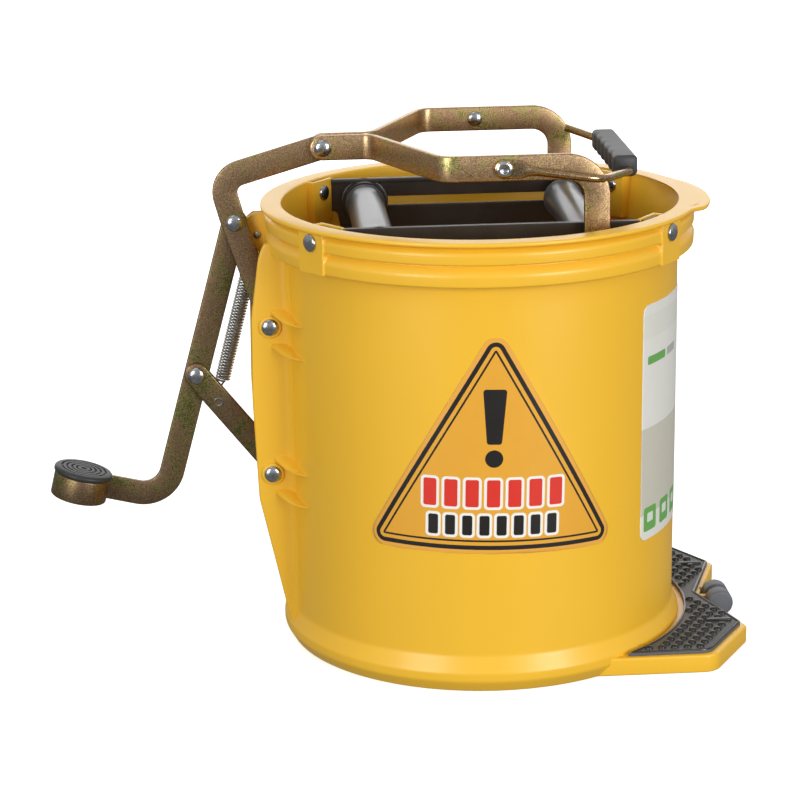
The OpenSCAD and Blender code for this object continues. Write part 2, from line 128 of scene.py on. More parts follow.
class MopBucketShellSettings(bpy.types.PropertyGroup):
    rim_height: length("Rim height", "Height of the rim above the floor", RIM_Z)
    wall_radius: length("Wall radius", "Outer radius of the wall above the foot", 0.1506)
    wall_thickness: length("Wall thickness", "Thickness of the moulded wall", 0.0032)
    rim_radius: length("Rim radius", "Outer radius of the rim flange", 0.1663)
    foot_radius: length("Foot radius", "Radius of the foot where it meets the floor", 0.1504)
    rib_radius: length("Rib radius", "Outer radius of the two rim ribs", 0.164)
    spout_reach: length("Spout reach", "How far the pouring lip leans out", 0.011)
    plastic: tint("Plastic", "Colour of the moulded bucket", (0.88, 0.50, 0.030))
    gloss: share("Roughness", "Roughness of the moulded bucket", 0.36)


class MopBucketStepSettings(bpy.types.PropertyGroup):
    step_height: length("Step height", "Height of the moulded step", 0.014)
    pad_thickness: length("Pad thickness", "Thickness of the rubber pad", 0.0025)
    stud_pitch: length("Stud pitch", "Distance between two studs", 0.0098)
    stud_radius: length("Stud radius", "Radius of a stud at its foot", 0.0032)
    stud_height: length("Stud height", "Height of a stud", 0.0026)
    # The pad's grey is lighter than the rubber's black: partly painted sheen from grazing light.
    rubber: tint("Rubber", "Colour of the pad", (0.100, 0.100, 0.102))
    studs: tint("Studs", "Colour of the studs and of the pad's border", (0.014, 0.014, 0.015))
    wheel: tint("Wheel", "Colour of the transport roller", (0.105, 0.115, 0.135))


class MopBucketWringerSettings(bpy.types.PropertyGroup):
    roller_radius: length("Roller radius", "Radius of both rollers", 0.0145)
    collar_height: length("Collar height", "How far the end collars stand proud", 0.0012)
    plate_thickness: length("Plate thickness", "Thickness of the side plates", 0.003)
    plate: tint("Plate", "Colour of the side plates", (0.020, 0.016, 0.013))
    roller: tint("Roller", "Colour of the rollers", (0.050, 0.050, 0.052))


class MopBucketSteelSettings(bpy.types.PropertyGroup):
    bar_width: length("Bar width", "Width of the flat bars", 0.019)
    bar_thickness: length("Bar thickness", "Thickness of the flat bars", 0.005)
    edge_round: length("Edge rounding", "Radius of the rolled edges", 0.0012)
    wire_radius: length("Bail wire radius", "Radius of the bail's wire", 0.003)
    spring_radius: length("Spring radius", "Outer radius of the return spring", 0.006)
    spring_wire: length("Spring wire radius", "Radius of the spring's wire", 0.0008)
    spring_turns: IntProperty(name="Spring turns", description="Turns of the return spring", default=46, min=8,
                              max=80)
    olive: tint("Olive", "Green tone of the yellow zinc", (0.30, 0.33, 0.10))
    gold: tint("Gold", "Yellow tone of the yellow zinc", (0.62, 0.46, 0.20))
    rose: tint("Rose", "Pink tone of the yellow zinc", (0.46, 0.25, 0.20))
    nickel: tint("Nickel", "Colour of the bright rivets", (0.60, 0.62, 0.64))


class MopBucketPrintSettings(bpy.types.PropertyGroup):
    sheet_thickness: length("Sheet thickness", "Thickness of the stuck-on prints", 0.0003)
    orange: tint("Orange", "Ground colour of the floor sign", (0.80, 0.39, 0.035))
    margin: tint("Margin", "Colour of the sign's clear margin", (0.82, 0.40, 0.06))
    ink: tint("Ink", "Black ink", (0.012, 0.010, 0.009))
    red: tint("Red", "Red ink", (0.72, 0.035, 0.02))
    paper: tint("Paper", "Ground colour of the side label", (0.80, 0.79, 0.73))
    green: tint("Green", "Green ink of the side label", (0.15, 0.42, 0.09))


class MopBucketStageSettings(bpy.types.PropertyGroup):
    floor: tint("Floor", "Colour of the floor", (0.93, 0.93, 0.93))
    sky: FloatProperty(name="Sky", description="Strength of the even light from above", default=0.5, min=0.0,
                       max=5.0)
    low_sky: FloatProperty(name="Low sky", description="Strength of the even light from below", default=0.2, min=0.0,
                           max=5.0)
    key: FloatProperty(name="Key light", description="Power of each large light in front", default=25.0, min=0.0,
                       max=200.0, unit="POWER")
    backdrop: FloatProperty(name="Backdrop light", description="Power of the large light behind", default=26.0,
                            min=0.0, max=200.0, unit="POWER")
    lens: FloatProperty(name="Lens", description="Focal length of the camera", default=116.34, min=10.0, max=300.0,
                        unit="CAMERA")


class MopBucketSettings(bpy.types.PropertyGroup):
    shell: PointerProperty(type=MopBucketShellSettings)
    step: PointerProperty(type=MopBucketStepSettings)
    wringer: PointerProperty(type=MopBucketWringerSettings)
    steel: PointerProperty(type=MopBucketSteelSettings)
    prints: PointerProperty(type=MopBucketPrintSettings)
    stage: PointerProperty(type=MopBucketStageSettings)


# ---------------------------------------------------------------- shapes, in millimetres


def fillet(points, steps=4):
    """Polyline whose inner points (x, y, radius) are rounded."""
    out = [Vector(points[0][:2])]
    for before, at, after in zip(points, points[1:], points[2:]):
        out += rounded_corner(Vector(before[:2]), Vector(at[:2]), Vector(after[:2]), at[2], steps)
    return out + [Vector(points[-1][:2])]


def rounded_outline(points, steps=4):
    """Closed outline whose points (x, y, radius) are rounded."""
    count = len(points)
    out = []
    for i in range(count):
        before, at, after = points[i - 1], points[i], points[(i + 1) % count]
        out += rounded_corner(Vector(before[:2]), Vector(at[:2]), Vector(after[:2]), at[2], steps)
    return out


def rounded_corner(before, at, after, radius, steps):
    u, w = (before - at).normalized(), (after - at).normalized()
    half = math.acos(max(-1.0, min(1.0, u.dot(w)))) / 2
    if radius <= 0 or half > math.radians(89.5):
        return [at]
    reach = min(radius / math.tan(half), 0.49 * (before - at).length, 0.49 * (after - at).length)
    radius = reach * math.tan(half)
    centre = at + (u + w).normalized() * (radius / math.sin(half))
    start, end = at + u * reach - centre, at + w * reach - centre
    a0 = math.atan2(start.y, start.x)
    turn = (math.atan2(end.y, end.x) - a0 + 3 * math.pi) % (2 * math.pi) - math.pi
    return [centre + radius * Vector((math.cos(a0 + turn * i / steps), math.sin(a0 + turn * i / steps)))
            for i in range(steps + 1)]


def inset(outline, distance):
    """Closed outline moved inwards by a small distance."""
    count = len(outline)
    area = sum(outline[i - 1].x * outline[i].y - outline[i].x * outline[i - 1].y for i in range(count))
    side = 1 if area > 0 else -1
    out = []
    for i in range(count):
        a = (outline[i] - outline[i - 1]).normalized()
        b = (outline[(i + 1) % count] - outline[i]).normalized()
        n = Vector((-a.y, a.x)) + Vector((-b.y, b.x))
        n = n.normalized() if n.length > 1e-6 else Vector((-a.y, a.x))
        spread = max(0.35, n.dot(Vector((-a.y, a.x))))
        out.append(outline[i] + n * (side * distance / spread))
    return out


def smooth_step(value, low, high):
    t = max(0.0, min(1.0, (value - low) / (high - low)))
    return t * t * (3 - 2 * t)


class Shape:
    """Collects closed surfaces and makes one piece of them."""

    def __init__(self):
        self.verts = []
        self.faces = []
        self.flat = {}

    def add(self, verts, faces, place=None):
        start = len(self.verts)
        self.verts += [place @ Vector(v) if place else Vector(v) for v in verts]
        self.faces += [tuple(start + i for i in face) for face in faces]

    def rows(self, rows, ring=True, caps=True, loop=False, place=None):
        """Quads between rows of points; ring closes each row, loop joins the last row to the first."""
        count = len(rows[0])
        verts = [v for row in rows for v in row]
        faces = []
        across = count if ring else count - 1
        for r in range(len(rows) if loop else len(rows) - 1):
            nxt = (r + 1) % len(rows)
            for c in range(across):
                d = (c + 1) % count
                faces.append((r * count + c, r * count + d, nxt * count + d, nxt * count + c))
        if caps and ring and not loop:
            faces.append(tuple(range(count)))
            faces.append(tuple(range(len(verts) - count, len(verts))))
        self.add(verts, faces, place)

    def turned(self, profile, place, segments=48):
        """Solid of revolution about local Z from (radius, height) pairs; radius 0 closes an end."""
        rows = []
        for radius, height in profile:
            radius = max(radius, 0.02)
            rows.append([Vector((radius * math.cos(2 * math.pi * i / segments),
                                 radius * math.sin(2 * math.pi * i / segments), height)) for i in range(segments)])
        self.rows(rows, place=place)

    def slab(self, outline, low, high, place=None, bevel=0.6, holes=(), steps=2):
        """Plate between two heights with rounded edges; holes are outlines cut through it."""
        levels = []
        for i in range(steps + 1):
            a = math.pi / 2 * i / steps
            levels.append((low + bevel * (1 - math.sin(a)), bevel * (1 - math.cos(a))))
        levels = levels[::-1] + [(low + high - z, d) for z, d in levels]
        levels = sorted(levels, key=lambda level: level[0])
        loops = []
        for curve, sign in [(outline, 1)] + [(hole, -1) for hole in holes]:
            rings = [inset(curve, sign * d) if d > 1e-6 else list(curve) for z, d in levels]
            self.rows([[Vector((p.x, p.y, z)) for p in ring] for ring, (z, d) in zip(rings, levels)],
                      caps=False, place=place)
            loops.append((rings[0], rings[-1]))
        for end, z in ((0, low), (1, high)):
            flat = [p for loop in loops for p in loop[end]]
            triangles = tessellate_polygon([[Vector((p.x, p.y, 0)) for p in loop[end]] for loop in loops])
            self.add([Vector((p.x, p.y, z)) for p in flat], triangles, place)

    def piece(self, name, smooth=34.0, weld=0.002):
        mesh = bpy.data.meshes.new(name)
        mesh.from_pydata([v * MM for v in self.verts], [], self.faces)
        work = bmesh.new()
        work.from_mesh(mesh)
        bmesh.ops.remove_doubles(work, verts=work.verts, dist=weld * MM)
        bmesh.ops.dissolve_degenerate(work, edges=work.edges, dist=1e-7)
        bmesh.ops.recalc_face_normals(work, faces=work.faces)
        work.to_mesh(mesh)
        work.free()
        mesh.shade_smooth()
        mesh.set_sharp_from_angle(angle=math.radians(smooth))
        made = bpy.data.objects.new(name, mesh)
        bpy.context.scene.collection.objects.link(made)
        return made


def settle(made, body, slot, finish, *nodes):
    """Paints a piece, hides the CAD nodes it stands for and lets it ride; its slot is not used."""
    made.data.materials.clear()
    made.data.materials.append(finish)
    if nodes:
        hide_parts(*nodes)
    if body:
        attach(made, body)
    return made


def repaint(finish, *nodes):
    """Gives CAD nodes that stay as they are a better finish."""
    for node in nodes:
        made = frame["nodes"][node]
        if not made.material_slots:
            made.data.materials.append(finish)
        for place in made.material_slots:
            place.material = finish


def along(direction, at):
    """Place whose local Z points along a direction."""
    return Matrix.Translation(at) @ Vector(direction).to_track_quat("Z", "Y").to_matrix().to_4x4()


def drawn_upright(y):
    """Place that stands a drawing made in X and Z up at depth y, growing towards +Y."""
    return Matrix(((1, 0, 0, 0), (0, 0, 1, y), (0, 1, 0, 0), (0, 0, 0, 1)))


def corners():
    """Places of the four rim corners: local X points outwards, local +Y towards the side plates."""
    turn = Matrix.Rotation(RIVET_ANGLE, 4, "Z")
    return [Matrix.Diagonal((sx, sy, 1, 1)) @ turn for sx in (1, -1) for sy in (1, -1)]


def dome_profile(radius, height, steps=9):
    rows = [(radius * 0.9, -0.2), (radius * 0.985, -0.02), (radius, 0.22)]
    for i in range(1, steps + 1):
        a = math.pi / 2 * i / steps
        rows.append((radius * math.cos(a), 0.22 + (height - 0.22) * math.sin(a) ** 0.92))
    return rows


def bar_section(half_width, half_thickness, edge, steps=3):
    """Rounded flat section as (through, across) pairs."""
    edge = min(edge, half_width * 0.9, half_thickness * 0.9)
    out = []
    for quadrant, (s, w) in enumerate(((1, 1), (-1, 1), (-1, -1), (1, -1))):
        for i in range(steps + 1):
            a = math.pi / 2 * (quadrant + i / steps)
            out.append((s * (half_thickness - edge) + edge * math.cos(a),
                        w * (half_width - edge) + edge * math.sin(a)))
    return out


def sweep(shape, path, sides, sections):
    """Skins sections along a path; sides are the directions of the sections' first axis."""
    rows = []
    for i, point in enumerate(path):
        heading = (path[min(i + 1, len(path) - 1)] - path[max(i - 1, 0)]).normalized()
        side = (sides[i] - heading * sides[i].dot(heading)).normalized()
        cross = heading.cross(side)
        rows.append([point + side * a + cross * b for a, b in sections[i]])
    shape.rows(rows)


def flat_bar(shape, path, sides, steel, round_start=True, round_end=True):
    """Flat bar along a path, with half-round ends centred on its first and last points."""
    half_width = millimetres(steel.bar_width) / 2
    half_thickness = millimetres(steel.bar_thickness) / 2
    edge = millimetres(steel.edge_round)
    points, normals, widths = list(path), list(sides), [half_width] * len(path)
    for wanted, index, sign in ((round_start, 0, -1), (round_end, -1, 1)):
        if not wanted:
            continue
        inner = path[1] if index == 0 else path[-2]
        outwards = (path[index] - inner).normalized()
        extra = []
        for i in range(1, 10):
            a = math.pi / 2 * i / 9
            extra.append((path[index] + outwards * half_width * math.sin(a), max(0.25, half_width * math.cos(a))))
        if sign < 0:
            points = [p for p, w in extra[::-1]] + points
            widths = [w for p, w in extra[::-1]] + widths
            normals = [sides[0]] * 9 + normals
        else:
            points += [p for p, w in extra]
            widths += [w for p, w in extra]
            normals += [sides[-1]] * 9
    sweep(shape, points, normals, [bar_section(w, half_thickness, edge) for w in widths])


def in_plane(points, y, steps=12):
    """Path in the upright plane at depth y from rounded (x, z, radius) points."""
    return [Vector((p.x, y, p.y)) for p in fillet(points, steps)]


def rivet_heads(shape, at, front_y, back_y, radius, height, segments=40):
    """A domed head on each side of a pivot."""
    for y, direction in ((front_y, -BACK), (back_y, BACK)):
        shape.turned(dome_profile(radius, height), along(direction, Vector((at.x, y, at.z))), segments)


# ---------------------------------------------------------------- finishes


class Value:
    """A number on its way through a finish: arithmetic on it adds Math nodes."""

    def __init__(self, finish, socket):
        self.finish = finish
        self.socket = socket

    def math(self, operation, *others, swap=False):
        terms = [self.socket] + [o.socket if isinstance(o, Value) else o for o in others]
        if swap:
            terms[0], terms[1] = terms[1], terms[0]
        made = self.finish.add("ShaderNodeMath", {"operation": operation}, dict(enumerate(terms)))
        return Value(self.finish, made.outputs[0])

    def __add__(self, other):
        return self.math("ADD", other)

    def __radd__(self, other):
        return self.math("ADD", other)

    def __sub__(self, other):
        return self.math("SUBTRACT", other)

    def __rsub__(self, other):
        return self.math("SUBTRACT", other, swap=True)

    def __mul__(self, other):
        return self.math("MULTIPLY", other)

    def __rmul__(self, other):
        return self.math("MULTIPLY", other)

    def __truediv__(self, other):
        return self.math("DIVIDE", other)

    def __rtruediv__(self, other):
        return self.math("DIVIDE", other, swap=True)

    def __pow__(self, other):
        return self.math("POWER", other)

    def __abs__(self):
        return self.math("ABSOLUTE")

    def __mod__(self, other):
        return self.math("FLOORED_MODULO", other)

    def least(self, other):
        return self.math("MINIMUM", other)

    def most(self, other):
        return self.math("MAXIMUM", other)

    def clamp(self, low=0.0, high=1.0):
        return self.most(low).least(high)

    def inside(self, blur=0.25):
        """1 where a signed distance is negative, with a soft edge."""
        return (0.5 - self / blur).clamp()


class Nodes:
    """A node tree and the one way in which nodes are added to it."""

    def __init__(self, tree):
        self.tree = tree

    def add(self, kind, settings=None, inputs=None):
        """Adds a node: its settings first, then the values or links of its sockets."""
        made = self.tree.nodes.new(kind)
        for name, value in (settings or {}).items():
            if name == "stops":
                while len(made.color_ramp.elements) < len(value):
                    made.color_ramp.elements.new(0.5)
                for element, (position, colour) in zip(made.color_ramp.elements, value):
                    element.position = position
                    element.color = (*colour, 1.0)
            else:
                setattr(made, name, value)
        for key, value in (inputs or {}).items():
            self.feed(made.inputs[key], value)
        return made

    def feed(self, socket, value):
        if isinstance(value, Value):
            value = value.socket
        if isinstance(value, bpy.types.NodeSocket):
            self.tree.links.new(value, socket)
        elif socket.type == "RGBA" and len(value) == 3:
            socket.default_value = (*value, 1.0)
        else:
            socket.default_value = value


class Finish(Nodes):
    """One material and the nodes that make it."""

    def __init__(self, name):
        self.material = bpy.data.materials.new(name)
        self.material.use_nodes = True
        super().__init__(self.material.node_tree)
        self.tree.nodes.clear()
        self.surface = self.add("ShaderNodeBsdfPrincipled")
        self.add("ShaderNodeOutputMaterial", {}, {0: self.surface.outputs[0]})
        self.place = self.add("ShaderNodeTexCoord").outputs["Object"]

    def noise(self, scale, detail=2.0, roughness=0.5, place=None, distortion=0.0):
        made = self.add("ShaderNodeTexNoise", {}, {"Vector": place or self.place, "Scale": scale, "Detail": detail,
                                                  "Roughness": roughness, "Distortion": distortion})
        return Value(self, made.outputs[0])

    def stretched(self, scale):
        return self.add("ShaderNodeMapping", {}, {"Vector": self.place, "Scale": scale}).outputs[0]

    def ramp(self, value, stops):
        return self.add("ShaderNodeValToRGB", {"stops": stops}, {0: value}).outputs[0]

    def mix(self, factor, first, second, blend="MIX"):
        made = self.add("ShaderNodeMix", {"data_type": "RGBA", "blend_type": blend}, {0: factor, 6: first, 7: second})
        return made.outputs[2]

    def shade(self, colour, value):
        """Multiplies a colour by a number that varies about 1."""
        grey = self.add("ShaderNodeCombineColor", {}, {0: value, 1: value, 2: value}).outputs[0]
        return self.mix(1.0, colour, grey, "MULTIPLY")

    def bump(self, height, distance_mm, strength=1.0):
        made = self.add("ShaderNodeBump", {}, {"Height": height, "Distance": distance_mm * MM, "Strength": strength})
        self.set(Normal=made.outputs[0])

    def set(self, **sockets):
        for name, value in sockets.items():
            self.feed(self.surface.inputs[name.replace("_", " ")], value)
        return self.material


def moulded_plastic(shell):
    """Satin moulded plastic: faint cloudiness, fine orange peel and a few polished patches."""
    finish = Finish("moulded_yellow_plastic")
    cloud = finish.noise(7.0, 3.0)
    peel = finish.noise(700.0, 2.0)
    drag = finish.noise(26.0, 4.0, 0.6, finish.stretched((1.0, 1.0, 0.25)))
    tone = 0.93 + cloud * 0.10 + drag * 0.04
    finish.bump(peel, 0.05, 0.35)
    finish.set(Base_Color=finish.shade(tuple(shell.plastic), tone), Roughness=shell.gloss - 0.06 + drag * 0.12)
    return finish.set(Coat_Weight=0.12, Coat_Roughness=0.22, IOR=1.49)


def yellow_zinc(steel, name="yellow_zinc_steel", dark=1.0, rough=0.36, green=0.0):
    """Rolled steel under yellow zinc: olive, gold and rose patches under a fine bright and dark speckle."""
    finish = Finish(name)
    patch = (finish.noise(30.0, 4.0, 0.6, distortion=0.5) - 0.5) * 1.9
    speck = (finish.noise(1150.0, 1.0, 0.6) - 0.5) * 3.4
    grain = (finish.noise(430.0, 3.0, 0.7) - 0.5) * 2.2
    hue = (0.5 - green + patch + grain * 0.45 + speck * 0.35).clamp()
    olive, gold, rose = tuple(steel.olive), tuple(steel.gold), tuple(steel.rose)
    colour = finish.ramp(hue, [(0.12, olive), (0.36, gold), (0.55, rose), (0.76, gold), (0.95, olive)])
    # dark scales the whole colour down; the crank, lever and strut use it as painted shade for the dark surroundings
    # they reflect.
    tone = ((0.92 + speck * 0.62 + grain * 0.3) * dark).clamp(0.1 * dark, 1.7)
    finish.bump(speck + grain * 0.6, 0.03, 0.45)
    finish.set(Base_Color=finish.shade(colour, tone), Roughness=(rough + grain * 0.08).clamp(0.12, 0.8))
    return finish.set(Metallic=1.0)


def bright_nickel(steel):
    """Polished rivet metal with dull hammered marks."""
    finish = Finish("bright_nickel")
    mark = (finish.noise(330.0, 4.0, 0.65) - 0.5) * 2.6
    fine = finish.noise(1400.0, 2.0)
    finish.bump(mark, 0.1, 0.5)
    finish.set(Base_Color=finish.shade(tuple(steel.nickel), (0.72 + mark * 0.42).clamp(0.2, 1.2)),
               Roughness=0.12 + fine * 0.16)
    return finish.set(Metallic=1.0)


def grained_plastic(name, colour, rough, grain_scale=900.0, depth=0.08, coat=0.0):
    """Dark moulded plastic or rubber with a fine grain and faint grey bloom."""
    finish = Finish(name)
    grain = finish.noise(grain_scale, 2.0, 0.6)
    bloom = finish.noise(22.0, 4.0, 0.6)
    finish.bump(grain, depth, 0.6)
    pale = tuple(min(1.0, c * 1.9 + 0.006) for c in colour)
    finish.set(Base_Color=finish.mix((bloom * 1.6 - 0.55).clamp(), tuple(colour), pale),
               Roughness=(rough - 0.08 + bloom * 0.16 + grain * 0.05).clamp())
    return finish.set(Coat_Weight=coat, Coat_Roughness=0.12)


def studded_rubber(step, top):
    """Rubber sheet painted a lighter grey than its studs, partly as painted sheen from grazing light; the studs are
    darker and shinier than the sheet.
    """
    finish = Finish("studded_rubber")
    parts = finish.add("ShaderNodeSeparateXYZ", {}, {0: finish.place})
    stud = ((Value(finish, parts.outputs[2]) / MM - top) * 2.0).clamp()
    bloom = finish.noise(30.0, 4.0, 0.6)
    grain = finish.noise(800.0, 2.0)
    finish.bump(grain, 0.06, 0.5)
    # The sheet's lighter grey is partly painted sheen from grazing light; the studs keep the rubber's own black.
    sheet = finish.shade(tuple(step.rubber), 0.8 + bloom * 0.4)
    finish.set(Base_Color=finish.mix(stud, sheet, tuple(step.studs)), Roughness=0.55 - stud * 0.22 + grain * 0.05)
    return finish.set(Specular_IOR_Level=0.5)


def wire_metal(name, colour, rough):
    """Drawn wire: faint lengthwise lines and a little dulling."""
    finish = Finish(name)
    line = finish.noise(420.0, 3.0, 0.6, finish.stretched((0.15, 1.0, 1.0)))
    dull = finish.noise(40.0, 3.0)
    finish.bump(line, 0.04, 0.4)
    finish.set(Base_Color=finish.shade(tuple(colour), 0.75 + dull * 0.5), Roughness=rough + line * 0.14)
    return finish.set(Metallic=1.0)


class Print:
    """Flat artwork drawn by distances, in millimetres across and up a stuck-on sheet."""

    def __init__(self, name, ground):
        self.finish = Finish(name)
        parts = self.finish.add("ShaderNodeSeparateXYZ", {}, {0: self.finish.add("ShaderNodeUVMap").outputs[0]})
        self.across = Value(self.finish, parts.outputs[0]) * 100
        self.up = Value(self.finish, parts.outputs[1]) * 100
        self.colour = tuple(ground)

    def ink(self, mask, colour):
        self.colour = self.finish.mix(mask, self.colour, tuple(colour))

    def segment(self, start, end):
        """Distance from a straight line between two points."""
        dx, dy = end[0] - start[0], end[1] - start[1]
        u, v = self.across - start[0], self.up - start[1]
        t = ((u * dx + v * dy) / (dx * dx + dy * dy)).clamp()
        return ((u - t * dx) ** 2 + (v - t * dy) ** 2) ** 0.5

    def half_plane(self, start, end):
        """Signed distance to the line through two points, negative to its left."""
        dx, dy = end[0] - start[0], end[1] - start[1]
        size = math.hypot(dx, dy)
        return (self.across - start[0]) * (dy / size) - (self.up - start[1]) * (dx / size)

    def box(self, centre, half, radius):
        """Signed distance to a rounded rectangle."""
        u = (abs(self.across - centre[0]) - (half[0] - radius)).most(0.0)
        v = (abs(self.up - centre[1]) - (half[1] - radius)).most(0.0)
        return (u ** 2 + v ** 2) ** 0.5 - radius

    def polygon(self, corners_):
        """Signed distance to a convex polygon given anticlockwise."""
        pairs = list(zip(corners_, corners_[1:] + corners_[:1]))
        edge, within = None, None
        for start, end in pairs:
            near, plane = self.segment(start, end), self.half_plane(start, end)
            edge = near if edge is None else edge.least(near)
            within = plane if within is None else within.most(plane)
        outside = (within * 1000).clamp()
        return edge * (outside * 2 - 1)

    def done(self, rough, coat):
        mottle = self.finish.noise(60.0, 3.0)
        self.finish.bump(self.finish.noise(900.0), 0.02, 0.25)
        self.finish.set(Base_Color=self.finish.shade(self.colour, 0.96 + mottle * 0.06),
                        Roughness=rough + mottle * 0.1)
        return self.finish.set(Coat_Weight=coat, Coat_Roughness=0.15)


# ---------------------------------------------------------------- bucket


def wall_radius_at(shell, z):
    """Outer radius of the plain wall at a height."""
    return millimetres(shell.wall_radius) + 1.2 * max(0.0, min(1.0, (z - 28) / 264))


def shell_profile(shell):
    """Closed section of the bucket from the middle of its underside to the middle of its floor."""
    wall, foot = millimetres(shell.wall_radius), millimetres(shell.foot_radius)
    rib, rim, top = millimetres(shell.rib_radius), millimetres(shell.rim_radius), millimetres(shell.rim_height)
    inner, mouth = wall - millimetres(shell.wall_thickness), 150.4
    return fillet([
        (0, 5, 0), (138, 5, 1), (138.6, 0, 1), (foot, 0, 3), (foot + 5.7, 9.5, 6), (foot + 5.7, 16, 6),
        (wall, 27.5, 9), (wall + 0.4, 110, 0), (wall + 0.8, 200, 0), (wall + 1.2, 292, 0), (wall + 1.2, 309.2, 1.6),
        (rib - 0.5, 310.6, 1.6), (rib, 319.8, 5.0), (rib - 4.9, 325.2, 0.9), (rib - 4.9, 326.2, 0.4),
        (rib - 0.4, 327, 1.4), (rib, 335.2, 4.0), (rib - 4.9, 339.4, 0.6), (rib - 4.9, 339.95, 0.2),
        (rim, 340.1, 1.3), (rim, top, 1.5), (mouth, top, 1.8),
        (mouth, 332, 0), (mouth, 322, 8), (inner + 1.2, 300, 30), (inner + 0.6, 150, 0), (inner, 20, 0),
        (inner, 9, 7), (80, 9, 0), (0, 9, 0)], 5)


def shell_angles():
    """Column angles: one each degree, and closer at the edges of the flat rivet pads."""
    angles = {round(a * 1.0, 3) for a in range(360)}
    pad = math.degrees(RIVET_ANGLE)
    for centre in (pad, 180 - pad, 180 + pad, 360 - pad):
        for offset in (3.6, 4.5, 4.75, 4.9, 5.05, 5.3):
            angles |= {round(centre + offset, 3), round(centre - offset, 3)}
    return [math.radians(a) for a in sorted(angles)]


def pad_share(angle):
    """How far a column lies on a rivet pad, and its angle from the pad's middle."""
    folded = math.atan2(abs(math.sin(angle)), abs(math.cos(angle)))
    offset = folded - RIVET_ANGLE
    across = PAD_PLANE * math.tan(offset)
    return 1 - smooth_step(abs(across), 13.5, 14.4), offset


def shell_point(radius, z, angle, inner, shell):
    """Places one point of the section in a column: rivet pads, pouring lip and its inside."""
    reach = millimetres(shell.spout_reach)
    lean = max(0.0, math.cos(angle))
    folded = abs((angle + math.pi) % (2 * math.pi) - math.pi)
    spout = 1 - smooth_step(folded, math.radians(15), math.radians(25))
    if inner:
        t = max(0.0, min(1.0, (z - LIP_START) / 47.4))
        radius += reach * (0.5 * lean ** 3 + 0.95 * spout) * t ** 2.2
        z -= 0.8 * spout * t ** 4
    elif z > 340.0:
        radius += reach * spout * (0.92 - 0.5 * (folded / 0.4) ** 2) * (1 if radius > 163 else 0)
        z -= 1.6 * spout * (1 if radius > 163 else 0)
    elif 310.4 < z < 339.9:
        amount, offset = pad_share(angle)
        plane = PAD_PLANE / math.cos(offset)
        if radius < plane:
            radius += (plane - radius) * amount
    return Vector((radius * math.cos(angle), radius * math.sin(angle), z))


def ear_reach(z):
    """How far out the linkage ear stands at a height, as a positive X."""
    edge = fillet([(150.5, 10), (174, 119, 26), (177, 199, 70), (176, 262, 40), (168, 319)], 10)
    for low, high in zip(edge, edge[1:]):
        if low.y <= z <= high.y:
            return low.x + (high.x - low.x) * (z - low.y) / max(1e-6, high.y - low.y)
    return edge[-1].x


def ear_rows(shell, sign):
    """Sections of one ear, from the foot to under the rim: a web with filleted roots and a round edge."""
    section = [(41, 0.0, -0.5), (38.6, 0.0, 0.25), (36.4, 0.0, 1.2), (35.0, 0.0, 2.6), (34.2, 0.0, 4.6),
               (34.0, 0.0, 7.5), (34.0, 1.0, -1.6), (33.7, 1.0, -0.75), (33.1, 1.0, -0.2), (32.2, 1.0, 0.0),
               (30.8, 1.0, 0.0),
               (29.9, 1.0, -0.2), (29.3, 1.0, -0.75), (29.0, 1.0, -1.6), (29.0, 0.0, 7.5), (28.8, 0.0, 4.6),
               (28.0, 0.0, 2.6), (26.6, 0.0, 1.2), (24.4, 0.0, 0.25), (22, 0.0, -0.5)]
    rows = []
    for i in range(64):
        z = 11.0 + (318.5 - 11.0) * i / 63
        out = max(ear_reach(z), 148.5)
        if i > 60:
            out -= (i - 60) ** 2 * 0.35
        row = []
        for y, grows, extra in section:
            wall = math.sqrt(max(1.0, wall_radius_at(shell, min(z, 308)) ** 2 - y * y))
            tall = max(0.0, out - wall)
            stand = grows * tall + (min(extra, tall * 0.6) if grows == 0 else max(extra, -tall))
            row.append(Vector((-(wall + stand), sign * y, z)))
        rows.append(row)
    return rows


def gusset(shape, shell, sign, z_root, z_tip):
    """Slanting web that ties a boss to the wall and runs out to a point."""
    rows = []
    count = 14
    for i in range(count + 1):
        t = i / count
        z = z_root + (z_tip - z_root) * t - 2.2 * math.sin(math.pi * t)
        thick = 2.6 * (1 - t) + 0.7
        free = Vector((-161.5, -34.0)).lerp(Vector((-137.5, -63.8)), t)
        free += Vector((-0.78, -0.62)) * 1.6 * math.sin(math.pi * t)
        angle = math.atan2(-33.5, -147.5) * (1 - t) + math.atan2(-63.8, -136.5) * t
        radius = wall_radius_at(shell, z) - 0.6
        root = Vector((radius * math.cos(angle), radius * math.sin(angle)))
        if t == 0:
            root = Vector((-147.5, -33.6))
        inner = free.lerp(root, 0.08)
        row = [Vector((free.x, free.y, z - 0.5)), Vector((inner.x, inner.y, z)), Vector((root.x, root.y, z + 0.8 * t)),
               Vector((root.x, root.y, z - thick)), Vector((inner.x, inner.y, z - thick)),
               Vector((free.x, free.y, z - thick + 0.5))]
        rows.append([Vector((p.x, -sign * p.y, p.z)) for p in row])
    shape.rows(rows)


def step_plan(step_x=200.0, step_y=131.0):
    """Plan of the step: wall, two tips, the notch between them and the two pockets of the roller."""
    inner = [Vector((149 * math.cos(a), 149 * math.sin(a))) for a in
             [math.radians(61 - 122 * i / 40) for i in range(41)]]
    pocket_x, pocket_y = 178.9, 15.8
    outer = fillet([(inner[-1].x, inner[-1].y), (80, -step_y, 30), (165, -step_y, 16), (step_x, -72, 5),
                    (181.3, -pocket_y, 0.4), (pocket_x, -pocket_y, 0.4), (pocket_x, -8.7, 0.4), (176, 0, 2.5),
                    (pocket_x, 8.7, 0.4), (pocket_x, pocket_y, 0.4), (181.3, pocket_y, 0.4), (step_x, 72, 5),
                    (165, step_y, 16), (80, step_y, 30), (inner[0].x, inner[0].y)], 8)
    return inner + outer[1:-1]


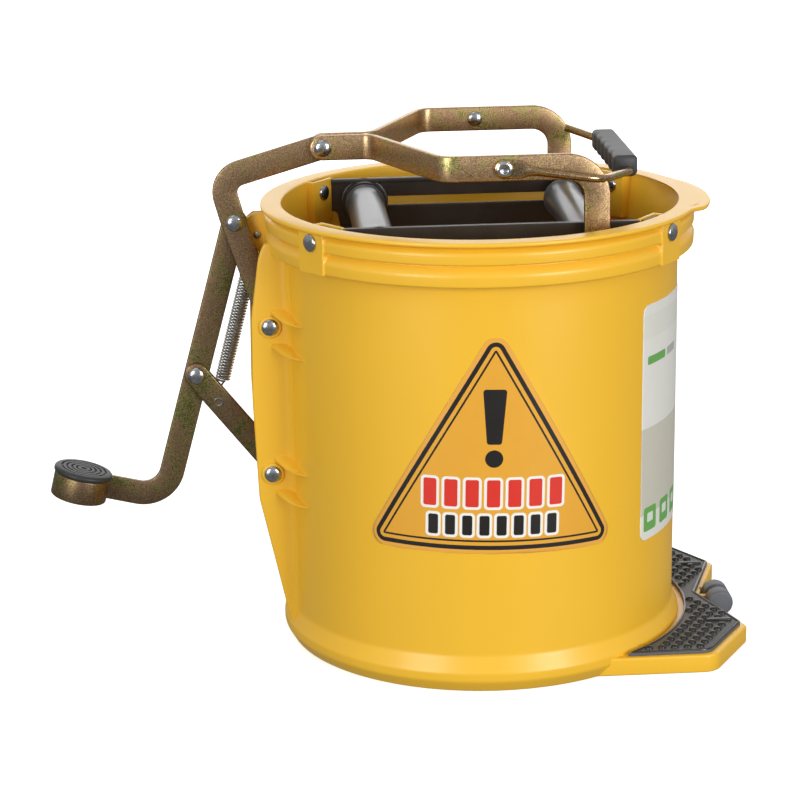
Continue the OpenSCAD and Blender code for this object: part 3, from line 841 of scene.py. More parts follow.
def pad_plan():
    """Plan of the rubber pad on the step."""
    start = math.radians(52.2)
    inner = [Vector((160.5 * math.cos(start - 2 * start * i / 44), 160.5 * math.sin(start - 2 * start * i / 44)))
             for i in range(45)]
    outer = fillet([(inner[-1].x, inner[-1].y), (161, -127, 12), (195.2, -70, 3), (172, 0, 2), (195.2, 70, 3),
                    (161, 127, 12), (inner[0].x, inner[0].y)], 6)
    return inner + outer[1:-1]


def build_shell(settings):
    shell, step = settings.shell, settings.step
    shape = Shape()
    profile = shell_profile(shell)
    angles = shell_angles()
    turn = max(range(len(profile)), key=lambda i: (profile[i].y > 343.3, -abs(profile[i].x - 158)))
    rows = [[shell_point(max(p.x, 0.05), p.y, a, i > turn, shell) for a in angles] for i, p in enumerate(profile)]
    shape.rows(rows)
    for sign in (-1, 1):
        shape.rows(ear_rows(shell, sign))
        for pivot in (CRANK_AT, STRUT_AT):
            boss = [(9.6, -3), (9.2, -0.6), (8.6, 0.4), (8.5, 1.4), (8.1, 1.9), (7.4, 2.1), (0, 2.1)]
            shape.turned(boss, along(BACK * sign, Vector((pivot.x, sign * 34, pivot.z))), 56)
            gusset(shape, shell, sign, pivot.z + 13.2, pivot.z + 6.0)
            gusset(shape, shell, sign, pivot.z - 13.0, pivot.z - 19.3)
    pocket = [Vector(p) for p in ((142.6, -13), (152, -13), (152, -10.5), (145.4, -10.5), (145.4, 12.5), (142.6, 12.5))]
    shelf = [Vector(p) for p in ((142.8, -12.8), (151.5, -12.8), (151.5, 12.4), (142.8, 12.4))]
    for place in corners():
        shape.slab(pocket, 308, 343.1, place, 0.5)
        shape.slab(shelf, 307.6, 311, place, 0.6)
    lug = [Vector(p) for p in ((-148, 303), (-168, 303), (-177, 312), (-177, 330), (-172, 334), (-148, 334))]
    for y in (SPRING_HOOK_AT.y - 3.8, SPRING_HOOK_AT.y + 3.8):
        shape.slab(rounded_outline([(p.x, p.y, 3) for p in lug]), -1.2, 1.2, drawn_upright(y), 0.5)
    shape.slab(step_plan(), 0, millimetres(step.step_height), None, 1.6, steps=4)
    tongue = rounded_outline([(166, 1, 0), (190, 1, 3), (195, 6, 4), (195, 12, 4), (188, 15.5, 4), (180, 13.8, 2),
                              (166, 13.8, 0)])
    shape.slab(tongue, -2.5, 2.5, drawn_upright(0), 0.5)
    made = shape.piece("bucket_moulding", smooth=38)
    return settle(made, "bucket", "bucket_yellow", moulded_plastic(shell), *BUCKET_NODES)


def build_step(settings):
    step = settings.step
    base = millimetres(step.step_height)
    top = base + millimetres(step.pad_thickness)
    shape = Shape()
    plan = pad_plan()
    shape.slab(plan, base - 0.4, top, None, 0.7, steps=3)
    pitch, radius, height = (millimetres(v) for v in (step.stud_pitch, step.stud_radius, step.stud_height))
    profile = [(radius, -0.3), (radius * 0.97, 0.15 * height), (radius * 0.86, 0.62 * height),
               (radius * 0.6, 0.9 * height), (radius * 0.25, height), (0, height)]
    for side in (-1, 1):
        for j in range(16):
            for i in range(14):
                x = 96 + i * pitch + (j % 2) * pitch / 2
                y = 17 + j * pitch * 0.866
                near_bar = abs(x - 179) < 13.5 and abs(y - 66) < 4.6
                on_pad = (math.hypot(x, y) > 164.6 and y < 123 and x < 168.3 + 24 * y / 70
                          and (x - 161) / 34 + (y - 127) / 58 < -0.12)
                if on_pad and not near_bar:
                    shape.turned(profile, Matrix.Translation((x, side * y, top)), 14)
        bar = rounded_outline([(169, 63.6, 2), (189, 63.6, 2), (189, 68, 2), (169, 68, 2)])
        shape.slab([Vector((p.x, side * p.y)) for p in bar], top - 0.3, top + 2.0, None, 0.9, steps=3)
    border = Shape()
    edge = inset(plan, 1.1)
    tube = [(0.95 * math.cos(math.radians(45 * i)), 0.95 * math.sin(math.radians(45 * i))) for i in range(8)]
    rows = []
    for i, point in enumerate(edge):
        side = (edge[(i + 1) % len(edge)] - edge[i - 1]).normalized().orthogonal()
        rows.append([Vector((point.x + side.x * a, point.y + side.y * a, top + b)) for a, b in tube])
    border.rows(rows, loop=True)
    settle(shape.piece("studded_pad"), "bucket", "pad_rubber", studded_rubber(step, top), "step_pad")
    edging = grained_plastic("pad_border_rubber", step.studs, 0.3, 900.0, 0.05, 0.2)
    settle(border.piece("pad_border"), "bucket", "pad_rubber", edging)

    wheel = Shape()
    low, high = node_box("transport_roller")
    outer, end = (high.x - low.x) / 2, high.y
    inside, bore, wall, edge = 2.9, 2.05, 2.0, 2.2
    profile = [(0, end - wall), (bore, end - wall), (bore, inside), (outer - 0.6, inside), (outer, inside + 0.6)]
    for i in range(9):
        a = math.pi / 2 * i / 8
        profile.append((outer - edge * (1 - math.cos(a)), end - edge * (1 - math.sin(a))))
    profile.append((0, end))
    for sign in (-1, 1):
        wheel.turned(profile, along(BACK * sign, WHEEL_AT), 64)
    slate = grained_plastic("slate_wheel", step.wheel, 0.5, 600.0, 0.05)
    settle(wheel.piece("transport_roller_halves"), "transport_wheel", "wheel_grey", slate, "transport_roller")


# ---------------------------------------------------------------- wringer


def plate_outline():
    top = 342.0
    return rounded_outline([(-113, top, 0.8), (-113, 316, 3), (-104, 316, 4), (-98, 286, 12), (98, 286, 12),
                            (104, 316, 4), (113, 316, 3), (113, top, 0.8)], 6)


def build_plates(settings):
    wringer = settings.wringer
    finish = grained_plastic("wringer_plate_plastic", wringer.plate, 0.36, 1100.0, 0.04, 0.15)
    half = millimetres(wringer.plate_thickness) / 2
    slot_x = (-65.0, MOVING_AT.x)
    slot = [Vector((slot_x[0] + 3.5 * math.cos(a), MOVING_AT.z + 3.5 * math.sin(a)))
            for a in [math.radians(90 + 180 * i / 12) for i in range(13)]]
    slot += [Vector((slot_x[1] + 3.5 * math.cos(a), MOVING_AT.z + 3.5 * math.sin(a)))
             for a in [math.radians(-90 + 180 * i / 12) for i in range(13)]]
    lip = rounded_outline([(-108, 338.6, 1), (108, 338.6, 1), (108, 342, 1.4), (-108, 342, 1.4)])
    boss = [(19, 0), (18.6, 1.4), (17.8, 1.9), (16.8, 1.9), (16.3, 1.2), (12, 1.2), (0, 1.2)]
    tab = [Vector(p) for p in ((146, -11.9), (148.4, -11.9), (148.4, 10.0), (146, 10.0))]
    turn = Matrix.Rotation(RIVET_ANGLE, 4, "Z")
    for sign, body_name, node in ((-1, "front_plate_moulding", "front_side_plate"),
                                  (1, "rear_plate_moulding", "rear_side_plate")):
        shape = Shape()
        shape.slab(plate_outline(), -half, half, drawn_upright(sign * 95), 0.6, [slot], steps=3)
        shape.slab(lip, -1.5, 1.5, drawn_upright(sign * 92.4), 1.1, steps=4)
        shape.turned(boss, along(BACK * -sign, Vector((FIXED_AT.x, sign * 93.6, FIXED_AT.z))), 64)
        for mirror in (1, -1):
            shape.slab(tab, 316, 342, Matrix.Diagonal((mirror, sign, 1, 1)) @ turn, 0.5)
        settle(shape.piece(body_name), "bucket", "black_plastic", finish, node)
    repaint(finish, "fixed_roller_bushes", "slide_bushes")


def build_rollers(settings):
    wringer = settings.wringer
    finish = grained_plastic("roller_plastic", wringer.roller, 0.33, 1300.0, 0.02, 0.22)
    r, collar = millimetres(wringer.roller_radius), millimetres(wringer.collar_height)
    half = [(4.1, 82.6), (7.0, 82.9), (8.0, 84.0), (r + collar - 1.0, 84.0), (r + collar - 0.3, 83.7),
            (r + collar, 83.0), (r + collar, 81.8), (r + collar - 0.3, 81.1), (r + 0.2, 80.6), (r, 80.2), (r, 60)]
    profile = [(a, -b) for a, b in half] + [(r, -20), (r, 20)] + half[::-1]
    for at, body, node, name in ((FIXED_AT, "fixed_roller_body", "fixed_roller", "fixed_roller_sleeve"),
                                 (MOVING_AT, "moving_roller_body", "moving_roller", "moving_roller_sleeve")):
        shape = Shape()
        shape.turned(profile, along(BACK, at), 96)
        settle(shape.piece(name), body, "roller_grey", finish, node)


# ---------------------------------------------------------------- linkage


def crank_path():
    return in_plane([(TIP_AT.x, TIP_AT.z), (-196, 363, 22), (-188, 333, 14), (CRANK_AT.x, CRANK_AT.z)], 0)


def lever_path(y):
    """Lever from the knee down and into the rolled pedal ring, with the side direction of each point."""
    path = in_plane([(KNEE_AT.x, KNEE_AT.z), (-247, 110.5, 30), (-291, 121.0)], y, 16)
    path = path[:1] + [path[0].lerp(path[1], i / 6) for i in range(1, 6)] + path[1:]
    sides = [BACK] * len(path)
    tilt = Matrix.Rotation(PEDAL_TILT, 3, "Y")
    ring = 19.0
    for i in range(0, 62):
        a = math.radians(306) * i / 61
        path.append(PEDAL_AT + tilt @ Vector((-ring * math.sin(a), ring * math.cos(a), 0)))
        sides.append(tilt @ Vector((-math.sin(a), math.cos(a), 0)))
    return path, sides


def build_linkage(settings):
    steel = settings.steel
    # Painted shade: the crank (0.62) and the lever and strut (0.46) get darker copies of the yoke's yellow zinc,
    # standing for the dark surroundings they reflect; the lever and strut also get a real greener tint.
    painted_shade_zinc = yellow_zinc(steel, "shaded_zinc_steel", 0.62, 0.4)
    olive_shaded_zinc = yellow_zinc(steel, "olive_shaded_zinc_steel", 0.46, 0.42, 0.12)
    shape = Shape()
    path = crank_path()
    flat_bar(shape, path, [BACK] * len(path), steel)
    settle(shape.piece("crank_bar"), "crank", "zinc_gold", painted_shade_zinc, "bell_crank")

    shape = Shape()
    path, sides = lever_path(KNEE_AT.y)
    flat_bar(shape, path, sides, steel, round_end=False)
    settle(shape.piece("pedal_bar"), "lever", "zinc_gold", olive_shaded_zinc, "pedal_lever")

    shape = Shape()
    path = [SHIN_AT.lerp(STRUT_AT, i / 8) for i in range(9)]
    path = [Vector((p.x, 0, p.z)) for p in path]
    flat_bar(shape, path, [BACK] * 9, steel)
    settle(shape.piece("strut_bar"), "strut_arm", "zinc_gold", olive_shaded_zinc, "strut")

    shape = Shape()
    r = 21.5
    profile = [(15.8, -6), (15.9, 9.3), (r + 0.5, 9.5), (r + 1.0, 10.2), (r + 1.1, 11.4), (r + 0.9, 12.4),
               (r + 0.2, 13.2), (r - 1.2, 13.7), (18.6, 13.9)]
    for groove in (17.0, 13.2, 9.4, 5.6):
        profile += [(groove + 0.75, 13.9), (groove + 0.35, 12.9), (groove - 0.35, 12.9), (groove - 0.75, 13.9)]
    profile += [(2.4, 13.9), (1.9, 13.1), (0, 13.0)]
    tilt = Matrix.Translation(PEDAL_AT) @ Matrix.Rotation(PEDAL_TILT, 4, "Y")
    shape.turned(profile, tilt, 96)
    cap = grained_plastic("pedal_cap_plastic", (0.016, 0.016, 0.017), 0.5, 800.0, 0.06, 0.05)
    settle(shape.piece("pedal_cap_disc", smooth=40), "lever", "cap_rubber", cap, "pedal_cap")


def yoke_path(sign, y_outer):
    """Yoke arm: out from the tip, bent in plan, then level and down round the elbow."""
    plan = fillet([(TIP_AT.x, sign * 5.2), (-81, sign * 5.2, 12), (-36, sign * y_outer, 14), (34, sign * y_outer)], 12)
    path = [Vector((p.x, p.y, TIP_AT.z)) for p in plan]
    sides = []
    for i in range(len(path)):
        heading = (path[min(i + 1, len(path) - 1)] - path[max(i - 1, 0)]).normalized()
        sides.append(UP.cross(heading))
    arm = fillet([(30, TIP_AT.z), (MOVING_AT.x, TIP_AT.z, 36), (MOVING_AT.x, 304)], 18)
    for p in arm[1:]:
        path.append(Vector((p.x, sign * y_outer, p.y)))
        sides.append(BACK.copy())
    path = [path[0].lerp(path[1], i / 4) for i in range(4)] + path[1:]
    sides = [sides[0]] * 4 + sides[1:]
    return path, sides


def build_yoke(settings):
    steel = settings.steel
    zinc = yellow_zinc(steel)
    for sign, name, node in ((-1, "yoke_front_arm", "yoke_front_bar"), (1, "yoke_rear_arm", "yoke_rear_bar")):
        shape = Shape()
        path, sides = yoke_path(sign, 106)
        flat_bar(shape, path, sides, steel)
        made = shape.piece(name)
        cutter = Shape()
        slot = [Vector((MOVING_AT.x + 4.8 * math.cos(a), MOVING_AT.z + (6.8 if math.sin(a) > 0 else -6.8)
                        + 4.8 * math.sin(a))) for a in [2 * math.pi * (i + 0.5) / 32 for i in range(32)]]
        cutter.slab(slot, -9, 9, drawn_upright(sign * 106), 0.01)
        cut_away(made, cutter.piece("slot_cutter"))
        settle(made, "yoke", "zinc_gold", zinc, node)
    repaint(zinc, "axle_sleeves")


def cut_away(made, cutter):
    """Cuts one piece out of another and removes the cutter."""
    step = made.modifiers.new("cut", "BOOLEAN")
    step.operation, step.solver, step.object = "DIFFERENCE", "EXACT", cutter
    bpy.context.view_layer.update()
    shaped = bpy.data.meshes.new_from_object(made.evaluated_get(bpy.context.evaluated_depsgraph_get()))
    made.modifiers.clear()
    made.data = shaped
    shaped.shade_smooth()
    shaped.set_sharp_from_angle(angle=math.radians(34))
    bpy.data.objects.remove(cutter)


def build_rivets(settings):
    nickel = bright_nickel(settings.steel)
    groups = {
        "plate_rivet_heads": ("bucket", "plate_rivets"), "crank_pin_heads": ("bucket", "crank_pin"),
        "strut_pin_heads": ("bucket", "strut_pin"), "knee_rivet_heads": ("crank", "knee_rivet"),
        "tip_rivet_heads": ("yoke", "tip_rivet"), "shin_rivet_heads": ("strut_arm", "shin_rivet"),
        "bail_rivet_heads": ("yoke", "bail_rivets"), "eyelet_rim": ("strut_arm", "spring_eyelet"),
    }
    shapes = {name: Shape() for name in groups}
    for corner in corners():
        outwards = (corner @ Vector((1, 0, 0, 0))).to_3d()
        middle = corner @ Vector((165.2, 0, 333))
        shapes["plate_rivet_heads"].turned(dome_profile(6.6, 2.4), along(outwards, middle), 40)
        middle = corner @ Vector((142.4, 0, 333))
        shapes["plate_rivet_heads"].turned(dome_profile(6.2, 2.2), along(-outwards, middle), 40)
    rivet_heads(shapes["crank_pin_heads"], CRANK_AT, -36, 36, 6.6, 3.0)
    rivet_heads(shapes["strut_pin_heads"], STRUT_AT, -36, 36, 6.6, 3.0)
    shapes["crank_pin_heads"].turned([(4, -36.2), (4, 36.2)], along(BACK, CRANK_AT), 32)
    shapes["strut_pin_heads"].turned([(4, -36.2), (4, 36.2)], along(BACK, STRUT_AT), 32)
    rivet_heads(shapes["knee_rivet_heads"], KNEE_AT, -2.5, 7.9, 6.6, 3.0)
    rivet_heads(shapes["tip_rivet_heads"], TIP_AT, -7.7, 7.7, 6.6, 3.0)
    rivet_heads(shapes["shin_rivet_heads"], SHIN_AT, -2.5, 7.9, 6.6, 3.0)
    shapes["shin_rivet_heads"].turned(dome_profile(9, 2.6), along(BACK, Vector((SHIN_AT.x, 7.9, SHIN_AT.z))), 40)
    for name, at, y in (("knee_rivet_heads", KNEE_AT, 7.9), ("shin_rivet_heads", SHIN_AT, 7.9)):
        shapes[name].turned([(4, -2.6), (4, y)], along(BACK, Vector((at.x, 0, at.z))), 32)
    hollow = [(3.0, -9.0), (3.0, -0.1), (5.9, 0), (6.0, 0.6), (5.6, 1.4), (4.6, 1.9), (3.4, 2.0), (2.6, 1.7),
              (2.2, 0.9), (1.2, 0.6), (0, 0.6)]
    for sign in (-1, 1):
        shapes["bail_rivet_heads"].turned(hollow, along(BACK * sign, Vector((BAIL_AT.x, sign * 111.9, BAIL_AT.z))), 40)
        inner = along(-BACK * sign, Vector((BAIL_AT.x, sign * 103.5, BAIL_AT.z)))
        shapes["bail_rivet_heads"].turned(dome_profile(6, 2.6), inner, 40)
    low, high = node_box("spring_eyelet")
    r, depth = (high.x - low.x) / 2, high.y - low.y
    eyelet = [(0, 0), (r, 0), (r, depth), (r * 0.95, depth + 0.4), (r * 0.78, depth + 0.5), (r * 0.6, depth),
              (r * 0.56, depth - 3), (0, depth - 3)]
    shapes["eyelet_rim"].turned(eyelet, along(-BACK, Vector((SPRING_EYE_AT.x, high.y, SPRING_EYE_AT.z))), 36)
    for name, (body, node) in groups.items():
        settle(shapes[name].piece(name), body, "bright_steel", nickel, node)
    repaint(nickel, "fixed_axle", "moving_axle", "axle_clips", "crank_spacers", "strut_spacers", "spring_anchor",
            "transport_axle")


def build_spring(settings):
    """Close-wound extension spring with a hook at each end, drawn between bucket and strut."""
    steel = settings.steel
    start = Vector((SPRING_HOOK_AT.x, SPRING_HOOK_AT.y, SPRING_HOOK_AT.z))
    end = Vector((SPRING_EYE_AT.x, SPRING_HOOK_AT.y, SPRING_EYE_AT.z))
    axis = (end - start).normalized()
    span = (end - start).length
    coil = millimetres(steel.spring_radius) - millimetres(steel.spring_wire)
    first = axis.cross(BACK).normalized()
    second = BACK.copy()
    turns, per_turn = steel.spring_turns, 20
    path = []
    for i in range(13):
        a = math.radians(-150 + 240 * i / 12)
        path.append(start + axis * (3.4 * math.sin(a)) + first * (3.4 * math.cos(a)))
    path.append(start + axis * 9.5 + first * 0.6)
    for i in range(turns * per_turn + 1):
        t = i / per_turn
        grow = min(1.0, 0.35 + 0.65 * min(t, turns - t) / 0.5)
        a = 2 * math.pi * t
        along_axis = 12.5 + (span - 25.0) * t / turns
        path.append(start + axis * along_axis + (first * math.cos(a) + second * math.sin(a)) * coil * grow)
    path.append(end - axis * 9.5 + first * 0.6)
    for i in range(13):
        a = math.radians(90 - 240 * i / 12)
        path.append(end - axis * (3.4 * math.sin(a)) + first * (-3.4 * math.cos(a)))
    wire = millimetres(steel.spring_wire)
    ring = [(wire * math.cos(2 * math.pi * i / 8), wire * math.sin(2 * math.pi * i / 8)) for i in range(8)]
    shape = Shape()
    side = second
    rows = []
    for i, point in enumerate(path):
        heading = (path[min(i + 1, len(path) - 1)] - path[max(i - 1, 0)]).normalized()
        side = (side - heading * side.dot(heading)).normalized()
        cross = heading.cross(side)
        rows.append([point + side * a + cross * b for a, b in ring])
    shape.rows(rows)
    made = shape.piece("return_spring_coil", smooth=60)
    zinc = wire_metal("spring_zinc", (0.46, 0.45, 0.42), 0.24)
    settle(made, None, "spring_steel", zinc, "return_spring")
    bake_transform(made)


# ---------------------------------------------------------------- bail


def build_bail(settings):
    steel = settings.steel
    wire = millimetres(steel.wire_radius)
    half_plan = [(BAIL_AT.x + 2, 110.2, BAIL_AT.z), (BAIL_AT.x + 14, 110.9, BAIL_AT.z - 0.6),
                 (BAIL_AT.x + 22, 111.9, BAIL_AT.z - 2.0), (79, 111.9, 376.4), (106.5, 62, 372.3), (107, 52, 372.3)]
    path = smooth_path([Vector(p) for p in half_plan], (0, 6, 8, 11, 7, 0))
    whole = path + [Vector((p.x, -p.y, p.z)) for p in path[::-1]]
    sections, sides = [], []
    for p in whole:
        flat = 1 - smooth_step(p.x, BAIL_AT.x + 9, BAIL_AT.x + 24)
        tall, thin = wire + (7.0 - wire) * flat, wire + (1.5 - wire) * flat
        power = 1.0 - 0.55 * flat
        ring = []
        for i in range(24):
            a = 2 * math.pi * i / 24
            c, s = math.cos(a), math.sin(a)
            ring.append((thin * math.copysign(abs(c) ** power, c), tall * math.copysign(abs(s) ** power, s)))
        sections.append(ring)
        sides.append(BACK if p.x < 85 else Vector((0.6, 0.8, 0)))
    shape = Shape()
    rows = []
    side = BACK.copy()
    for i, point in enumerate(whole):
        heading = (whole[min(i + 1, len(whole) - 1)] - whole[max(i - 1, 0)]).normalized()
        side = (side - heading * side.dot(heading)).normalized()
        cross = heading.cross(side)
        rows.append([point + side * a + cross * b for a, b in sections[i]])
    shape.rows(rows)
    eye = [(0, -1.5), (6.6, -1.5), (7.0, -1.1), (7.0, 1.1), (6.6, 1.5), (0, 1.5)]
    for sign in (-1, 1):
        shape.turned(eye, along(BACK, Vector((BAIL_AT.x, sign * 110.2, BAIL_AT.z))), 48)
    bronze = yellow_zinc(steel, "bail_wire_zinc", 0.9, 0.2)
    settle(shape.piece("bail_wire_loop", smooth=50), "bail", "zinc_gold", bronze, "bail_wire")

    shape = Shape()
    low, high = GRIP_LOW, GRIP_HIGH
    rows = []
    count = 116
    for i in range(count + 1):
        y = low.y + (high.y - low.y) * i / count
        end = min(i, count - i)
        shrink = 1.6 * (1 - math.sin(math.pi / 2 * min(1.0, end / 2.0))) if end < 2 else 0.0
        wave = 0.5 + 0.5 * math.cos(2 * math.pi * y / 19.5)
        inside = 1 - smooth_step(abs(y), 44, 50)
        bite = 2.1 * wave * inside
        left, right, bottom, top = low.x + 0.2 + shrink, high.x - shrink, low.z + shrink, high.z - shrink
        outline = rounded_outline([(left + bite, bottom + bite * 0.6, 3.8), (right, bottom, 4.2), (right, top, 3.4),
                                   (left + bite * 0.35, top, 3.4)], 6)
        rows.append([Vector((p.x, y, p.y)) for p in outline])
    shape.rows(rows)
    grip = grained_plastic("grip_plastic", (0.032, 0.032, 0.034), 0.46, 1500.0, 0.12)
    settle(shape.piece("bail_grip_sleeve", smooth=40), "bail", "grip_black", grip, "bail_grip")


def smooth_path(points, radii, steps=8):
    """3-D polyline with rounded corners."""
    out = [points[0]]
    for before, at, after, radius in zip(points, points[1:], points[2:], radii[1:]):
        reach = min(radius, 0.45 * (before - at).length, 0.45 * (after - at).length)
        start, end = at + (before - at).normalized() * reach, at + (after - at).normalized() * reach
        for i in range(steps + 1):
            t = i / steps
            out.append(start.lerp(at, t).lerp(at.lerp(end, t), t))
    return out + [points[-1]]


# ---------------------------------------------------------------- prints


def wall_patch(shell, outline, angle, name, sheet, rows=64, columns=64, tilt=0.0):
    """Thin sheet that follows the wall, inside a convex outline given across and up and tilted about its middle."""
    middle = Vector((0, (min(p.y for p in outline) + max(p.y for p in outline)) / 2))
    lean = Matrix.Rotation(tilt, 2)
    outline = [middle + lean @ (p - middle) for p in outline]
    low, high = min(p.y for p in outline), max(p.y for p in outline)
    lift = 0.12 + sheet
    verts, uvs = [], []
    for r in range(rows + 1):
        t = r / rows
        z = low + (high - low) * (0.5 - 0.5 * math.cos(math.pi * t))
        crossings = []
        for a, b in zip(outline, outline[1:] + outline[:1]):
            if (a.y - z) * (b.y - z) <= 0 and abs(a.y - b.y) > 1e-9:
                crossings.append(a.x + (b.x - a.x) * (z - a.y) / (b.y - a.y))
        level = [p.x for p in outline if abs(p.y - z) < 1e-6]
        left, right = min(crossings + level), max(crossings + level)
        for c in range(columns + 1):
            across = left + (right - left) * c / columns
            radius = wall_radius_at(shell, z) + lift
            turn = angle + across / radius
            verts.append(Vector((radius * math.sin(turn), -radius * math.cos(turn), z)))
            flat_at = middle + lean.transposed() @ (Vector((across, z)) - middle)
            uvs.append((flat_at.x / 100, flat_at.y / 100))
    faces = []
    for r in range(rows):
        for c in range(columns):
            a = r * (columns + 1) + c
            faces.append((a, a + 1, a + columns + 2, a + columns + 1))
    mesh = bpy.data.meshes.new(name)
    mesh.from_pydata([v * MM for v in verts], [], faces)
    layer = mesh.uv_layers.new(name="sheet")
    for loop in mesh.loops:
        layer.data[loop.index].uv = uvs[loop.vertex_index]
    mesh.shade_smooth()
    made = bpy.data.objects.new(name, mesh)
    bpy.context.scene.collection.objects.link(made)
    thick = made.modifiers.new("sheet", "SOLIDIFY")
    thick.thickness, thick.offset = sheet * MM, -1
    return made


SIGN_SIDE = 201.0
SIGN_LOW = 108.0
SIGN_CORNER = 10.5


def sign_triangle(shrink=0.0):
    """Corners of the three-sided sign, moved inwards by a distance."""
    half = SIGN_SIDE / 2 - shrink * math.sqrt(3)
    low = SIGN_LOW + shrink
    return [(-half, low), (half, low), (0.0, low + half * math.sqrt(3))]


def block_row(art, middle, pitch, count, half, radius):
    """Signed distance to a row of equal rounded blocks."""
    beyond = abs(art.across) - pitch * count / 2
    cell = (art.across + pitch * count / 2) % pitch - pitch / 2
    u = (abs(cell) - (half[0] - radius)).most(0.0)
    v = (abs(art.up - middle) - (half[1] - radius)).most(0.0)
    return ((u ** 2 + v ** 2) ** 0.5 - radius).most(beyond)


def sign_finish(prints):
    """Floor sign: double black border on orange, an exclamation mark, and two rows of plain blocks."""
    art = Print("floor_sign_print", prints.margin)
    border = art.polygon(sign_triangle(SIGN_CORNER))
    black, white = tuple(prints.ink), (0.9, 0.88, 0.82)
    art.ink((border - 7.0).inside(), tuple(prints.orange))
    art.ink(abs(border - 5.55).math("SUBTRACT", 1.65).inside(), black)
    art.ink(abs(border - 0.45).math("SUBTRACT", 0.75).inside(), black)
    bar = art.polygon([(-3.4, 194.0), (3.4, 194.0), (6.4, 231.0), (-6.4, 231.0)]) - 2.2
    dot = art.segment((0, 181.0), (0.01, 181.0)) - 6.6
    art.ink(bar.least(dot).inside(), black)
    for middle, pitch, count, half, ink in ((154.5, 15.6, 7, (4.9, 10.4), tuple(prints.red)),
                                            (130.0, 12.6, 8, (3.7, 7.6), black)):
        row = block_row(art, middle, pitch, count, (half[0] + 2.0, half[1] + 2.0), 3.2)
        art.ink(row.inside(), white)
        art.ink(block_row(art, middle, pitch, count, half, 1.6).inside(), ink)
    return art.done(0.3, 0.3)


def label_finish(prints):
    """Side label: off-white paper with pale and green plain bands and small rounded squares."""
    art = Print("side_label_print", prints.paper)
    green = tuple(prints.green)
    art.ink(art.box((0, 150), (60, 34), 2).inside(), (0.62, 0.60, 0.50))
    art.ink(art.box((0, 262), (60, 9), 1).inside() * 0.18, (0.55, 0.60, 0.45))
    art.ink(art.box((-22, 236), (15, 3.2), 1.5).inside(), green)
    art.ink(art.box((8, 236), (11, 3.2), 1.5).inside(), (0.45, 0.47, 0.42))
    for i in range(3):
        art.ink(art.box((-30 + 26 * i, 112), (9.5, 9.5), 2.5).inside(), green)
        art.ink(art.box((-30 + 26 * i, 113), (4.5, 3.6), 1.2).inside(), (0.75, 0.8, 0.7))
    return art.done(0.42, 0.1)


def build_prints(settings):
    shell, prints = settings.shell, settings.prints
    sheet = millimetres(prints.sheet_thickness)
    triangle = rounded_outline([(x, z, SIGN_CORNER) for x, z in sign_triangle()], 8)
    made = wall_patch(shell, triangle, math.radians(-1.7), "floor_sign_sheet", sheet, 90, 90, math.radians(-1.2))
    settle(made, "bucket", "decal_orange", sign_finish(prints), "floor_decal")
    paper = rounded_outline([(-44, 96, 7), (44, 96, 7), (44, 279, 7), (-44, 279, 7)], 8)
    made = wall_patch(shell, paper, math.radians(63.5), "side_label_sheet", sheet, 60, 60)
    settle(made, "bucket", "label_white", label_finish(prints), "side_label")


# ---------------------------------------------------------------- stage


def area_light(name, at, target, size, power, tone=(1, 1, 1)):
    lamp = bpy.data.lights.new(name, "AREA")
    lamp.shape, lamp.size, lamp.size_y, lamp.energy, lamp.color = "RECTANGLE", size[0], size[1], power, tone
    made = bpy.data.objects.new(name, lamp)
    made.location = at
    made.rotation_euler = (Vector(target) - Vector(at)).to_track_quat("-Z", "Y").to_euler()
    made.visible_camera = False
    bpy.context.scene.collection.objects.link(made)


def build_sky(world, stage):
    """Even light that is soft from above and weak from below."""
    world.use_nodes = True
    sky = Nodes(world.node_tree)
    toward = sky.add("ShaderNodeTexCoord").outputs["Generated"]
    height = sky.add("ShaderNodeSeparateXYZ", {}, {0: toward}).outputs[2]
    strength = sky.add("ShaderNodeMapRange", {}, {0: height, 1: -0.2, 2: 0.15, 3: stage.low_sky, 4: stage.sky})
    ground = world.node_tree.nodes["Background"]
    sky.feed(ground.inputs[0], (1.0, 1.0, 1.0))
    sky.feed(ground.inputs[1], strength.outputs[0])


def build_floor(stage):
    """Pale floor that looks white and throws little light back up."""
    mesh = bpy.data.meshes.new("studio_floor")
    mesh.from_pydata([(-6, -6, 0), (6, -6, 0), (6, 9, 0), (-6, 9, 0)], [], [(0, 1, 2, 3)])
    floor = bpy.data.objects.new("studio_floor", mesh)
    bpy.context.scene.collection.objects.link(floor)
    floor.visible_diffuse = False
    floor.visible_glossy = False
    finish = Finish("studio_floor_paint")
    soft = finish.noise(3.0, 3.0)
    finish.set(Base_Color=finish.shade(tuple(stage.floor), 0.99 + soft * 0.02), Roughness=0.9)
    mesh.materials.append(finish.set(Emission_Color=tuple(stage.floor), Emission_Strength=0.62))


